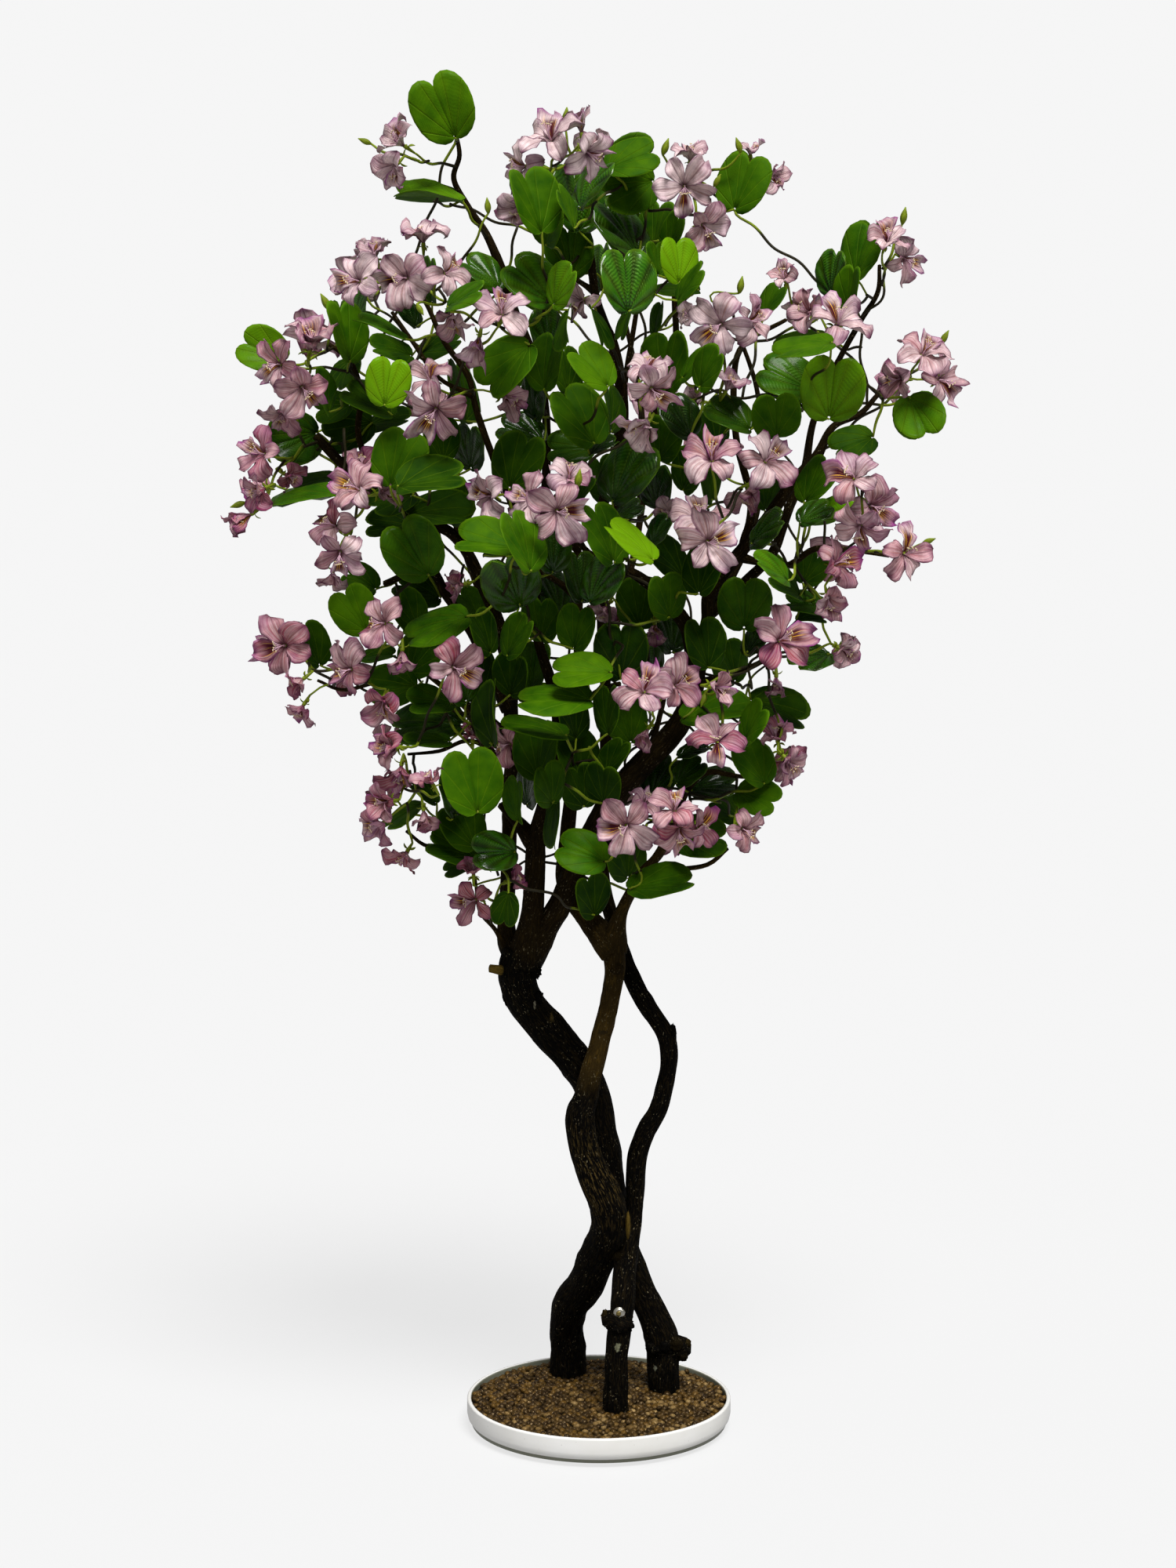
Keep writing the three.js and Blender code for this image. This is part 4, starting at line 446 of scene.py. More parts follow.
def inPicture(degrees):
    a = math.radians(degrees)
    return right * math.cos(a) + upward * math.sin(a)


# A leaf blade: where its base is, the way it points, its upper side and its length
def leafBlade(row, y, far):
    u, v, tip, length, width = row[:5]
    pixels = max(length, width * leafForm["widest"])
    if length >= leafForm["small"]:
        pixels = min(leafForm["longest"], max(pixels, leafForm["shortest"]))
    pitch = math.acos(min(1, length / pixels))
    roll = min(leafForm["mostRoll"], math.acos(min(1, width / (leafForm["width"] * pixels))))
    flat = inPicture(tip)
    along = flat * math.cos(pitch) + toward * math.sin(pitch)
    up = toward * math.cos(pitch) - flat * math.sin(pitch)
    side = np.cross(along, up)
    faces = [up * math.cos(turn) + side * math.sin(turn) for turn in (roll, -roll)]
    face = faces[0] if faces[0][2] > faces[1][2] else faces[1]
    if far:
        along[1] = -along[1]
        face[1] = -face[1]
    size = pixels * pixelSize(v, y)
    base = place(u, v, y) - along * size / 2
    return {"base": base, "along": along, "across": np.cross(along, face), "face": face, "size": size}


def leafSurface(blade, x, y, lift=0.0):
    droop = leafForm["droop"] * (y - leafForm["droopFrom"]) ** 2
    fold = leafForm["fold"] * np.abs(x) - droop + lift
    return (blade["base"] + blade["size"] * (np.multiply.outer(x, blade["across"])
        + np.multiply.outer(y, blade["along"]) + np.multiply.outer(fold, blade["face"])))


# A flower: its throat, the way it faces, its lip's direction, petal length and opening
def flowerHead(row, y, far):
    u, v, radius, turn, tilt, opening, lip = row[:7]
    lean = math.radians(tilt)
    face = toward * math.cos(lean) + inPicture(turn) * math.sin(lean)
    lipWay = inPicture(lip) + toward * flowerForm["lipToward"]
    lipWay = unit(lipWay - face * lipWay.dot(face))
    if far:
        face[1] = -face[1]
        lipWay[1] = -lipWay[1]
    return {"throat": place(u, v, y), "face": face, "lip": lipWay, "across": np.cross(face, lipWay),
        "size": radius * pixelSize(v, y), "opening": opening}


# The way that a petal points and its left, the lip being number 0
def petalWay(head, petal):
    spin = 2 * math.pi * petal / flowerForm["petals"]
    way = head["lip"] * math.cos(spin) + head["across"] * math.sin(spin)
    side = head["across"] * math.cos(spin) - head["lip"] * math.sin(spin)
    return way, side


def openingOf(head, petal, change=0.0):
    return math.radians(flowerForm["spread"][head["opening"]]
        + (flowerForm["lipOpening"] if petal == 0 else 0) + change)


def petalPoint(head, petal, out, left):
    opened = openingOf(head, petal)
    way, side = petalWay(head, petal)
    return (head["throat"] + head["size"] * (way * out * math.sin(opened)
        + head["face"] * out * math.cos(opened) + side * left))


# Places on a leaf and on a petal that must be clear of the rest of the crown
leafSpots = np.array([[0, 0.1], [0, 0.45], [0, 0.78], [0.25, 0.12], [-0.25, 0.12], [0.4, 0.45],
    [-0.4, 0.45], [0.26, 0.88], [-0.26, 0.88], [0.2, 0.62], [-0.2, 0.62]])
petalSpots = [(0.45, 0), (0.72, 0.18), (0.72, -0.18), (0.98, 0)]


def samplesOf(kind, form):
    if kind == "leaf":
        return leafSurface(form, leafSpots[:, 0], leafSpots[:, 1])
    if kind == "bud":
        return np.array([form["base"] + form["along"] * form["size"] * s for s in (0, 0.5, 1)])
    points = [form["throat"]]
    for petal in range(flowerForm["petals"]):
        points += [petalPoint(form, petal, out, left) for out, left in petalSpots]
    return np.array(points)


def budBody(row, y, far):
    u, v, turn, length = row[:4]
    along = unit(inPicture(turn) + toward * flowerForm["budToward"])
    size = length * pixelSize(v, y)
    return {"base": place(u, v, y) - along * size / 2, "along": along, "size": size}


# Sets a piece in the crown's depth, stepping it back or forth until it is clear
items = []
formOf = {"leaf": leafBlade, "flower": flowerHead, "bud": budBody}


def shareOf(kind, row):
    if kind == "bud":
        return shareOut["bud"]
    return shareOut["tone"][row[5]] if kind == "leaf" else shareOut["layer"][row[7]]


def setItem(kind, row, number, far):
    reach = crown["halfDeep"] * bulge(row[0], row[1])
    jitter = crown["jitter"] * (draw(number * 3 + (0 if kind == "leaf" else 500)) - 0.5)
    start = (farEvery["share"] if far else -shareOf(kind, row)) * reach + jitter
    best = None
    for step in range(crown["tries"]):
        shift = math.ceil(step / 2) * crown["step"] * (1 if step % 2 else -1)
        form = formOf[kind](row, start + shift, far)
        samples = samplesOf(kind, form)
        clear = room(samples)
        if best is None or clear > best["clear"]:
            best = {"form": form, "samples": samples, "clear": clear}
        if clear > crown["clear"]:
            break
    item = {"kind": kind, "far": far, "number": number, "row": row, "index": len(items), **best}
    for at in item["samples"]:
        addMark(at, crown["blade"], -1, item["index"])
    items.append(item)
    return item


for i, row in enumerate(flowers):
    setItem("flower", row, i, False)
for i, row in enumerate(leaves):
    setItem("leaf", row, i, False)
for i, row in enumerate(flowers):
    if i % farEvery["flower"] == farEvery["flowerFrom"]:
        setItem("flower", row, i, True)
for i, row in enumerate(leaves):
    if i % farEvery["leaf"] == 0:
        setItem("leaf", row, i, True)
print("crown set:", len(items), "leaves and flowers")


# Each piece belongs to the nearest root on the wood; a near root keeps off the wood at the back
rooting = {"back": 60, "weight": 20}


def rootOn(root, kind, number):
    u, v = root[:2]
    isFar = len(root) > 2
    behind = np.maximum(0, woodRows[:, 2] - rooting["back"]) * rooting["weight"]
    depth = woodRows[:, 2] - root[2] if isFar else behind
    off = np.sqrt((woodRows[:, 0] - u) ** 2 + (woodRows[:, 1] - v) ** 2 + depth ** 2)
    i = int(off.argmin())
    return {"name": f"{kind}_{number:02d}", "isLeaf": kind == "leaf_spray", "far": isFar,
        "at": marks["at"][i].copy(), "radius": marks["r"][i], "items": [], "twigs": []}


groups = [rootOn(root, "leaf_spray", i + 1) for i, root in enumerate(sprayRoots)]
groups += [rootOn(root, "bloom_cluster", i + 1) for i, root in enumerate(bloomRoots)]
for i, group in enumerate(groups):
    group["index"] = i


def groupFor(item):
    ours = [g for g in groups if g["isLeaf"] == (item["kind"] == "leaf") and g["far"] == item["far"]]
    return min(ours, key=lambda g: np.linalg.norm(item["samples"][0] - g["at"]))


for item in items:
    groupFor(item)["items"].append(item)


def alongPath(path, spacing):
    points = []
    for a, b in zip(path, path[1:]):
        steps = max(1, math.ceil(np.linalg.norm(b - a) / spacing))
        points += [a + (b - a) * s / steps for s in range(steps)]
    return np.array(points + [path[-1]])


# A way from a to b that bends clear of what stands between them
routing = {"rounds": 8, "ways": 6, "leastBend": 6, "bend": 0.09, "turn": 0.5}


def route(a, b, radius, group, item):
    length = np.linalg.norm(b - a)
    line = (b - a) / max(length, 1e-9)
    side = unit(np.array([-line[1], line[0], 0.01]))
    across = np.cross(line, side)
    best = None
    for turnRound in range(routing["rounds"]):
        if best is not None and best["clear"] > radius + stem["clear"]:
            break
        for k in range(routing["ways"] if turnRound else 1):
            turn = 2 * math.pi * k / routing["ways"] + turnRound * routing["turn"]
            bend = turnRound * max(routing["leastBend"], length * routing["bend"])
            middle = (a + b) / 2 + side * bend * math.cos(turn) + across * bend * math.sin(turn)
            path = [a, middle, b] if turnRound else [a, b]
            points = alongPath(path, markSteps["stalk"])
            free = points[np.linalg.norm(points - a, axis=1) > stem["start"]]
            clear = room(free, group["index"], item["index"]) if len(free) else farAway
            if best is None or clear > best["clear"]:
                best = {"path": path, "clear": clear}
            if clear > radius + stem["clear"]:
                break
    return best["path"]


# The nearest place on the twigs, a step further down each time that a twig is used again
twigging = {"low": 0.1, "high": 0.9, "mostStep": 0.25, "apart": 8}


def nearestOn(twigs, point):
    best = None
    for twig in twigs:
        line = twig["b"] - twig["a"]
        share = min(1, max(0, (point - twig["a"]).dot(line) / line.dot(line)))
        share = min(twigging["high"], max(twigging["low"], share - twig["used"] * twig["step"]))
        at = twig["a"] + line * share
        gone = np.linalg.norm(at - point)
        if best is None or gone < best["gone"]:
            best = {"gone": gone, "at": at, "twig": twig}
    best["twig"]["used"] += 1
    return best["at"]


def fillAlong(path, radius, group):
    for at in alongPath(path, markSteps["stalk"]):
        addMark(at, radius, group["index"])


def addTwig(group, a, b):
    step = min(twigging["mostStep"], twigging["apart"] / np.linalg.norm(b - a))
    group["twigs"].append({"a": a, "b": b, "used": 0, "step": step})


def footOf(item):
    form = item["form"]
    return form["throat"] - form["face"] * stem["calyx"] if item["kind"] == "flower" else form["base"]


def growItem(group, item):
    start = nearestOn(group["twigs"], item["foot"])
    reach = np.linalg.norm(item["foot"] - start)
    path = [start]
    if reach > stem["reach"]:
        joint = item["foot"] + (start - item["foot"]) * stem["stalk"] / reach
        joint[2] -= stem["sag"]
        path = route(start, joint, stem["twig"], group, item)
        fillAlong(path, stem["twig"], group)
        for a, b in zip(path, path[1:]):
            addTwig(group, a, b)
    stalk = route(path[-1], item["foot"], stem["petiole"], group, item)
    fillAlong(stalk, stem["petiole"], group)
    item["path"] = list(path) + list(stalk[1:])
    item["radii"] = [stem["petiole"]] * len(item["path"])
    if len(path) > 1:
        for i in range(1, len(path)):
            item["radii"][i] = stem["twig"] * (1 - stem["taper"] * i)
        item["radii"][0] = stem["root"]


def growGroup(group):
    for item in group["items"]:
        item["foot"] = footOf(item)
    group["items"].sort(key=lambda item: np.linalg.norm(item["foot"] - group["at"]))
    heading = unit(sum(unit(item["foot"] - group["at"]) for item in group["items"]))
    collar = group["at"] + heading * (group["radius"] + stem["collar"])
    spur = collar + heading * stem["spur"]
    group["spur"] = [group["at"], spur]
    fillAlong(group["spur"], stem["twig"], group)
    addTwig(group, collar, spur)
    for item in group["items"]:
        growItem(group, item)


for group in groups:
    growGroup(group)

# The finer leaves, the buds and more of the far side come after, on twigs that are already there
extras = {"reach": 210, "leaf": 200, "bud": 300, "farLeaf": 400, "farFlower": 500}


def addExtra(kind, row, number, far=False):
    item = setItem(kind, row, number, far)
    item["foot"] = footOf(item)
    deep = item["samples"][:, 1] / 1000
    if deep.min() < cadBox[0][1] or deep.max() > cadBox[1][1]:
        return
    group = groupFor(item)
    ends = [np.linalg.norm(item["foot"] - twig["b"]) for twig in group["twigs"]]
    if min(ends) < extras["reach"]:
        group["items"].append(item)
        growItem(group, item)


for i, row in enumerate(moreLeaves):
    addExtra("leaf", row, extras["leaf"] + i)
for i, row in enumerate(buds):
    addExtra("bud", row, extras["bud"] + i)
for i, row in enumerate(leaves):
    if i % 4 in (1, 2):
        addExtra("leaf", row, extras["farLeaf"] + i, True)
for i, row in enumerate(flowers):
    if i % 5 == 2:
        addExtra("flower", row, extras["farFlower"] + i, True)
print("crown grown:", len(items), "pieces with their stalks")


# A form is a set of points with faces of four and of three that know the number of their material,
# and for each point a tint of three shares, a place on its sheet and a place in its grain
def emptyForm():
    return {"points": [], "quads": [], "triangles": [], "tint": [], "sheet": [], "look": [],
        "grain": [], "count": 0}


def addForm(form, points, quads, triangles, tint, sheet, look, grain=None):
    points = np.asarray(points).reshape(-1, 3)
    n = len(points)
    start = form["count"]
    form["points"].append(points)
    form["tint"].append(np.broadcast_to(tint, (n, 3)))
    form["sheet"].append(np.broadcast_to(sheet, (n, 2)))
    form["grain"].append(points if grain is None else grain)
    for key, faces, size in (("quads", quads, 4), ("triangles", triangles, 3)):
        faces = np.asarray(faces, dtype=np.int64).reshape(-1, size)
        form[key].append(np.column_stack([faces + start, np.full(len(faces), look)]))
    form["count"] = start + n


# Turns a form into an object in metres with its attributes and materials
def makePiece(name, form, looks):
    points = np.concatenate(form["points"]) / 1000
    quads, triangles = np.concatenate(form["quads"]), np.concatenate(form["triangles"])
    corners = np.concatenate([quads[:, :4].ravel(), triangles[:, :3].ravel()])
    sizes = np.concatenate([np.full(len(quads), 4), np.full(len(triangles), 3)])
    starts = np.cumsum(sizes) - sizes
    mesh = bpy.data.meshes.new(name)
    mesh.vertices.add(len(points))
    mesh.vertices.foreach_set("co", points.ravel())
    mesh.loops.add(len(corners))
    mesh.loops.foreach_set("vertex_index", corners.astype(np.int32))
    mesh.polygons.add(len(starts))
    mesh.polygons.foreach_set("loop_start", starts.astype(np.int32))
    mesh.polygons.foreach_set("loop_total", sizes.astype(np.int32))
    mesh.polygons.foreach_set("material_index",
        np.concatenate([quads[:, 4], triangles[:, 3]]).astype(np.int32))
    mesh.polygons.foreach_set("use_smooth", np.full(len(starts), True))
    mesh.update(calc_edges=True)
    tint = np.concatenate(form["tint"])
    colours = np.column_stack([tint, np.ones(len(tint))])
    mesh.color_attributes.new("tint", "FLOAT_COLOR", "POINT").data.foreach_set("color", colours.ravel())
    grain = np.concatenate(form["grain"]) / 1000
    mesh.attributes.new("grain", "FLOAT_VECTOR", "POINT").data.foreach_set("vector", grain.ravel())
    sheet = np.concatenate(form["sheet"])[corners]
    mesh.uv_layers.new(name="sheet").data.foreach_set("uv", sheet.ravel())
    mesh.validate()
    piece = bpy.data.objects.new(name, mesh)
    for look in looks:
        mesh.materials.append(look)
    scene.collection.objects.link(piece)
    return piece


# Faces of a closed plate over a grid of rows and columns: the upper sheet, the lower one, the rim
plateFaces = {}


def facesOfPlate(rows, columns):
    if (rows, columns) not in plateFaces:
        i, j = np.meshgrid(np.arange(rows - 1), np.arange(columns - 1), indexing="ij")
        a = (i * columns + j).ravel()
        upper = np.column_stack([a, a + 1, a + columns + 1, a + columns])
        lower = upper[:, ::-1] + rows * columns
        edge = [(0, j) for j in range(columns)]
        edge += [(i, columns - 1) for i in range(1, rows)]
        edge += [(rows - 1, j) for j in range(columns - 2, -1, -1)]
        edge += [(i, 0) for i in range(rows - 2, 0, -1)]
        ring = np.array([i * columns + j for i, j in edge])
        after = np.roll(ring, -1)
        rim = np.column_stack([ring, ring + rows * columns, after + rows * columns, after])
        plateFaces[rows, columns] = np.concatenate([upper, lower, rim])
    return plateFaces[rows, columns]


# A closed plate round a middle sheet; the second share of its tint marks the side turned away
def addPlate(form, middle, thick, tint, sheet, look, facing):
    rows, columns = middle.shape[:2]
    normal = np.cross(np.gradient(middle, axis=1), np.gradient(middle, axis=0))
    length = np.linalg.norm(normal, axis=2, keepdims=True)
    normal = np.where(length > 1e-6, normal / np.maximum(length, 1e-6), facing)
    sign = np.sign((normal * facing).sum()) or 1.0
    upper = middle + normal * sign * thick / 2
    lower = middle - normal * sign * thick / 2
    faces = facesOfPlate(rows, columns)
    if sign < 0:
        faces = faces[:, ::-1]
    tintUpper = np.broadcast_to(tint, (rows * columns, 3)).copy()
    tintLower = tintUpper.copy()
    tintUpper[:, 1] = 0
    tintLower[:, 1] = 1
    sheets = np.concatenate([sheet.reshape(-1, 2)] * 2)
    addForm(form, np.concatenate([upper.reshape(-1, 3), lower.reshape(-1, 3)]), faces, [],
        np.concatenate([tintUpper, tintLower]), sheets, look)


# A smooth curve through the places of a path, with radii and any other values carried along
def smoothPath(path, values, spacing):
    path, values = np.asarray(path, float), np.asarray(values, float)
    rows = np.column_stack([path, values])
    padded = np.vstack([2 * rows[0] - rows[1], rows, 2 * rows[-1] - rows[-2]])
    out = []
    for i in range(len(rows) - 1):
        p0, p1, p2, p3 = padded[i:i + 4]
        steps = max(1, math.ceil(np.linalg.norm(p2[:3] - p1[:3]) / spacing))
        t = np.arange(steps)[:, None] / steps
        out.append(0.5 * (2 * p1 + (p2 - p0) * t + (2 * p0 - 5 * p1 + 4 * p2 - p3) * t ** 2
            + (3 * p1 - p0 - 3 * p2 + p3) * t ** 3))
    out = np.vstack(out + [rows[-1:]])
    return out[:, :3], out[:, 3:]


# Directions across a path, turned as little as possible from ring to ring
def framesAlong(path):
    along = np.gradient(path, axis=0)
    along /= np.linalg.norm(along, axis=1, keepdims=True)
    side = np.array([0.0, 0, 1]) if abs(along[0][2]) < 0.9 else np.array([1.0, 0, 0])
    sides = []
    for way in along:
        side = unit(side - way * side.dot(way))
        sides.append(side)
    sides = np.array(sides)
    return along, sides, np.cross(along, sides)


def runAlong(path):
    return np.concatenate([[0], np.cumsum(np.linalg.norm(np.diff(path, axis=0), axis=1))])


# Faces of a closed run of rings: bands from ring to ring, and a fan to a last point at each end
def facesOfRings(rings, sides):
    i, k = np.meshgrid(np.arange(rings - 1), np.arange(sides), indexing="ij")
    a, b = (i * sides + k).ravel(), (i * sides + (k + 1) % sides).ravel()
    k = np.arange(sides)
    after = (k + 1) % sides
    lastRing = (rings - 1) * sides
    fans = [np.column_stack([np.full(sides, rings * sides), after, k]),
        np.column_stack([np.full(sides, rings * sides + 1), lastRing + k, lastRing + after])]
    return np.column_stack([a, b, b + sides, a + sides]), np.vstack(fans)


# A closed tube along a path, slightly pointed at its ends
tubeEnds = {"root": 0.3, "tip": 0.4}


def addTube(form, path, radii, sides, tint, look, relief=0.0):
    along, side, across = framesAlong(path)
    rings = len(path)
    turn = 2 * math.pi * np.arange(sides) / sides
    cosine, sine = np.cos(turn), np.sin(turn)
    r = np.repeat(radii[:, None], sides, axis=1) + relief
    outward = side[:, None, :] * cosine[None, :, None] + across[:, None, :] * sine[None, :, None]
    points = path[:, None, :] + outward * r[:, :, None]
    points = np.vstack([points.reshape(-1, 3), path[:1] - along[:1] * radii[0] * tubeEnds["root"],
        path[-1:] + along[-1:] * radii[-1] * tubeEnds["tip"]])
    run = runAlong(path)
    grain = np.column_stack([(cosine[None, :] * radii[:, None]).ravel(),
        (sine[None, :] * radii[:, None]).ravel(), np.repeat(run, sides)])
    grain = np.vstack([grain, [0, 0, 0], [0, 0, run[-1]]])
    if np.ndim(tint) == 2:
        tint = np.vstack([np.repeat(tint, sides, axis=0), tint[:1], tint[-1:]])
    sheet = np.column_stack([np.tile(turn / (2 * math.pi), rings), np.repeat(run / run[-1], sides)])
    sheet = np.vstack([sheet, [0, 0], [0, 1]])
    quads, ends = facesOfRings(rings, sides)
    addForm(form, points, quads, ends, tint, sheet, look, grain)


# A closed turned form from its profile of radius and height, both ends on the axis
def addTurned(form, profile, segments, tint, look, centre=(0, 0, 0), axis=2):
    profile = np.asarray(profile, float)
    turn = 2 * math.pi * np.arange(segments) / segments
    body = profile[1:-1]
    x = body[:, 0][:, None] * np.cos(turn)
    y = body[:, 0][:, None] * np.sin(turn)
    z = np.repeat(body[:, 1][:, None], segments, axis=1)
    points = np.vstack([np.stack([x, y, z], axis=-1).reshape(-1, 3),
        [0, 0, profile[0, 1]], [0, 0, profile[-1, 1]]])
    if axis == 1:
        points = points[:, [0, 2, 1]] * [1, -1, 1]
    quads, ends = facesOfRings(len(body), segments)
    addForm(form, points + centre, quads, ends, tint, np.zeros(2), look)


# Materials. Short helpers first, then the effects that several finishes share.
def linear(text):
    parts = [int(text[i:i + 2], 16) / 255 for i in (1, 3, 5)]
    return tuple(c / 12.92 if c <= 0.04045 else ((c + 0.055) / 1.055) ** 2.4 for c in parts) + (1.0,)


# Links a socket, sets a number, or turns a written colour into a linear one
def setInputs(tree, node, inputs):
    for key, value in inputs.items():
        if isinstance(value, bpy.types.NodeSocket):
            tree.links.new(value, node.inputs[key])
        else:
            node.inputs[key].default_value = linear(value) if isinstance(value, str) else value
    return node


def addNode(tree, kind, inputs=None, **settings):
    node = tree.nodes.new("ShaderNode" + kind)
    for key, value in settings.items():
        setattr(node, key, value)
    return setInputs(tree, node, inputs or {})


def calculate(tree, operation, a, b=0.0, c=0.0):
    return addNode(tree, "Math", {0: a, 1: b, 2: c}, operation=operation).outputs[0]


def times(tree, value, *factors):
    for factor in factors:
        value = calculate(tree, "MULTIPLY", value, factor)
    return value


def scaled(tree, value, factor, start):
    return calculate(tree, "MULTIPLY_ADD", value, factor, start)


def inverse(tree, value):
    return calculate(tree, "SUBTRACT", 1.0, value)


def between(tree, value, low, high):
    node = addNode(tree, "MapRange", {0: value, 1: low, 2: high}, interpolation_type="SMOOTHSTEP")
    return node.outputs[0]


def mixed(tree, share, a, b):
    return addNode(tree, "Mix", {0: share, 6: a, 7: b}, data_type="RGBA").outputs[2]


def vectorMath(tree, operation, a, b=(0, 0, 0)):
    return addNode(tree, "VectorMath", {0: a, 1: b}, operation=operation).outputs


def newGroup(name, inputs):
    tree = bpy.data.node_groups.new(name, "ShaderNodeTree")
    for label, kind, value in inputs:
        socket = tree.interface.new_socket(label, in_out="INPUT", socket_type="NodeSocket" + kind)
        if value is not None:
            socket.default_value = value
    tree.interface.new_socket("Share", in_out="OUTPUT", socket_type="NodeSocketFloat")
    given = tree.nodes.new("NodeGroupInput").outputs
    return tree, given, tree.nodes.new("NodeGroupOutput").inputs["Share"]


def useGroup(tree, group, **inputs):
    return addNode(tree, "Group", inputs, node_tree=group).outputs[0]


# Cloudy change of tone: a noise stretched between two shares
mottle, given, made = newGroup("mottle", [("Place", "Vector", None), ("Scale", "Float", 20.0),
    ("Low", "Float", 0.35), ("High", "Float", 0.65)])
noise = addNode(mottle, "TexNoise", {"Vector": given["Place"], "Scale": given["Scale"], "Detail": 4.0})
stretched = addNode(mottle, "MapRange", {0: noise.outputs[0], 1: given["Low"], 2: given["High"]})
mottle.links.new(stretched.outputs[0], made)

# Long streaks: a noise drawn out along one axis
streaks, given, made = newGroup("streaks", [("Place", "Vector", None), ("Across", "Float", 200.0),
    ("Along", "Float", 20.0), ("Low", "Float", 0.4), ("High", "Float", 0.6)])
shape = addNode(streaks, "CombineXYZ", {0: given["Across"], 1: given["Across"], 2: given["Along"]})
drawn = vectorMath(streaks, "MULTIPLY", given["Place"], shape.outputs[0])[0]
noise = addNode(streaks, "TexNoise", {"Vector": drawn, "Scale": 1.0, "Detail": 5.0})
stretched = addNode(streaks, "MapRange", {0: noise.outputs[0], 1: given["Low"], 2: given["High"]})
streaks.links.new(stretched.outputs[0], made)

# Specks: the hearts of small cells, of which only some are kept
specks, given, made = newGroup("specks", [("Place", "Vector", None), ("Scale", "Float", 300.0),
    ("Size", "Float", 0.25), ("Kept", "Float", 0.2)])
cells = addNode(specks, "TexVoronoi", {"Vector": given["Place"], "Scale": given["Scale"]})
heart = calculate(specks, "LESS_THAN", cells.outputs["Distance"], given["Size"])
chance = addNode(specks, "SeparateXYZ", {0: cells.outputs["Color"]})
kept = calculate(specks, "LESS_THAN", chance.outputs[0], given["Kept"])
specks.links.new(times(specks, heart, kept), made)

# A soft spot with a ragged edge round a place, with its half widths
spot, given, made = newGroup("spot", [("Place", "Vector", None), ("Centre", "Vector", (0, 0, 0)),
    ("Half", "Vector", (0.01, 0.01, 0.01))])
off = vectorMath(spot, "SUBTRACT", given["Place"], given["Centre"])[0]
gone = vectorMath(spot, "LENGTH", vectorMath(spot, "DIVIDE", off, given["Half"])[0])["Value"]
ragged = addNode(spot, "TexNoise", {"Vector": given["Place"], "Scale": 260.0, "Detail": 3.0})
away = scaled(spot, ragged.outputs[0], 1.5, gone)
soft = addNode(spot, "MapRange", {0: away, 1: 1.7, 2: 1.3})
spot.links.new(soft.outputs[0], made)


def mottled(tree, at, scale, low=0.35, high=0.65):
    return useGroup(tree, mottle, Place=at, Scale=scale, Low=low, High=high)


def streaked(tree, at, across, along, low=0.4, high=0.6):
    return useGroup(tree, streaks, Place=at, Across=across, Along=along, Low=low, High=high)


def specked(tree, at, scale, size, kept):
    return useGroup(tree, specks, Place=at, Scale=scale, Size=size, Kept=kept)


def newLook(name, constants):
    look = bpy.data.materials.new(name)
    look.use_nodes = True
    tree = look.node_tree
    return look, tree, setInputs(tree, tree.nodes["Principled BSDF"], constants)


def bumpFrom(tree, shader, height, distance, strength=1.0):
    node = addNode(tree, "Bump", {"Height": height, "Distance": distance, "Strength": strength})
    tree.links.new(node.outputs[0], shader.inputs["Normal"])


# The three shares that each point carries
def tintOf(tree):
    tint = addNode(tree, "Attribute", attribute_name="tint")
    return addNode(tree, "SeparateXYZ", {0: tint.outputs["Color"]}).outputs


# Place on a leaf or a petal: across it, and out from its base
def sheetOf(tree):
    return addNode(tree, "SeparateXYZ", {0: addNode(tree, "UVMap", uv_map="sheet").outputs[0]}).outputs


# Place on a stalk or a limb: round it, and along it
def grainOf(tree):
    return addNode(tree, "Attribute", attribute_name="grain").outputs["Vector"]


def objectPlace(tree):
    return addNode(tree, "TexCoord").outputs["Object"]


# Leaves: tone by leaf (partly painted shade on leaves deep in the crown), lighter veins that spread from
# the base, a duller paler underside; ribbed leaves carry painted shade in their valleys and a painted
# highlight on the crests of their cross ridges.
# The tint holds the leaf's tone, whether this is the underside, and how far the leaf is ribbed.
leafLook = {"deep": "#072401", "middle": "#264f02", "light": "#74a205", "vein": "#7fa119",
    "under": "#446813", "ribbedDeep": "#022603", "ribbedLight": "#1b730b", "rim": "#739d17",
    "valleyShade": "#011101", "crest": "#62a31a", "sheen": "#b8ff70", "veins": 14 / 3, "veinWidth": 0.09,
    "crossRidges": 17, "ridgeBow": 0.07, "clouds": 45.0, "cells": 700.0, "ribbedShare": 0.85,
    "rimShare": 0.3, "underShare": 0.45, "dull": 0.55, "glaze": 0.6, "rungHeight": 2.2}


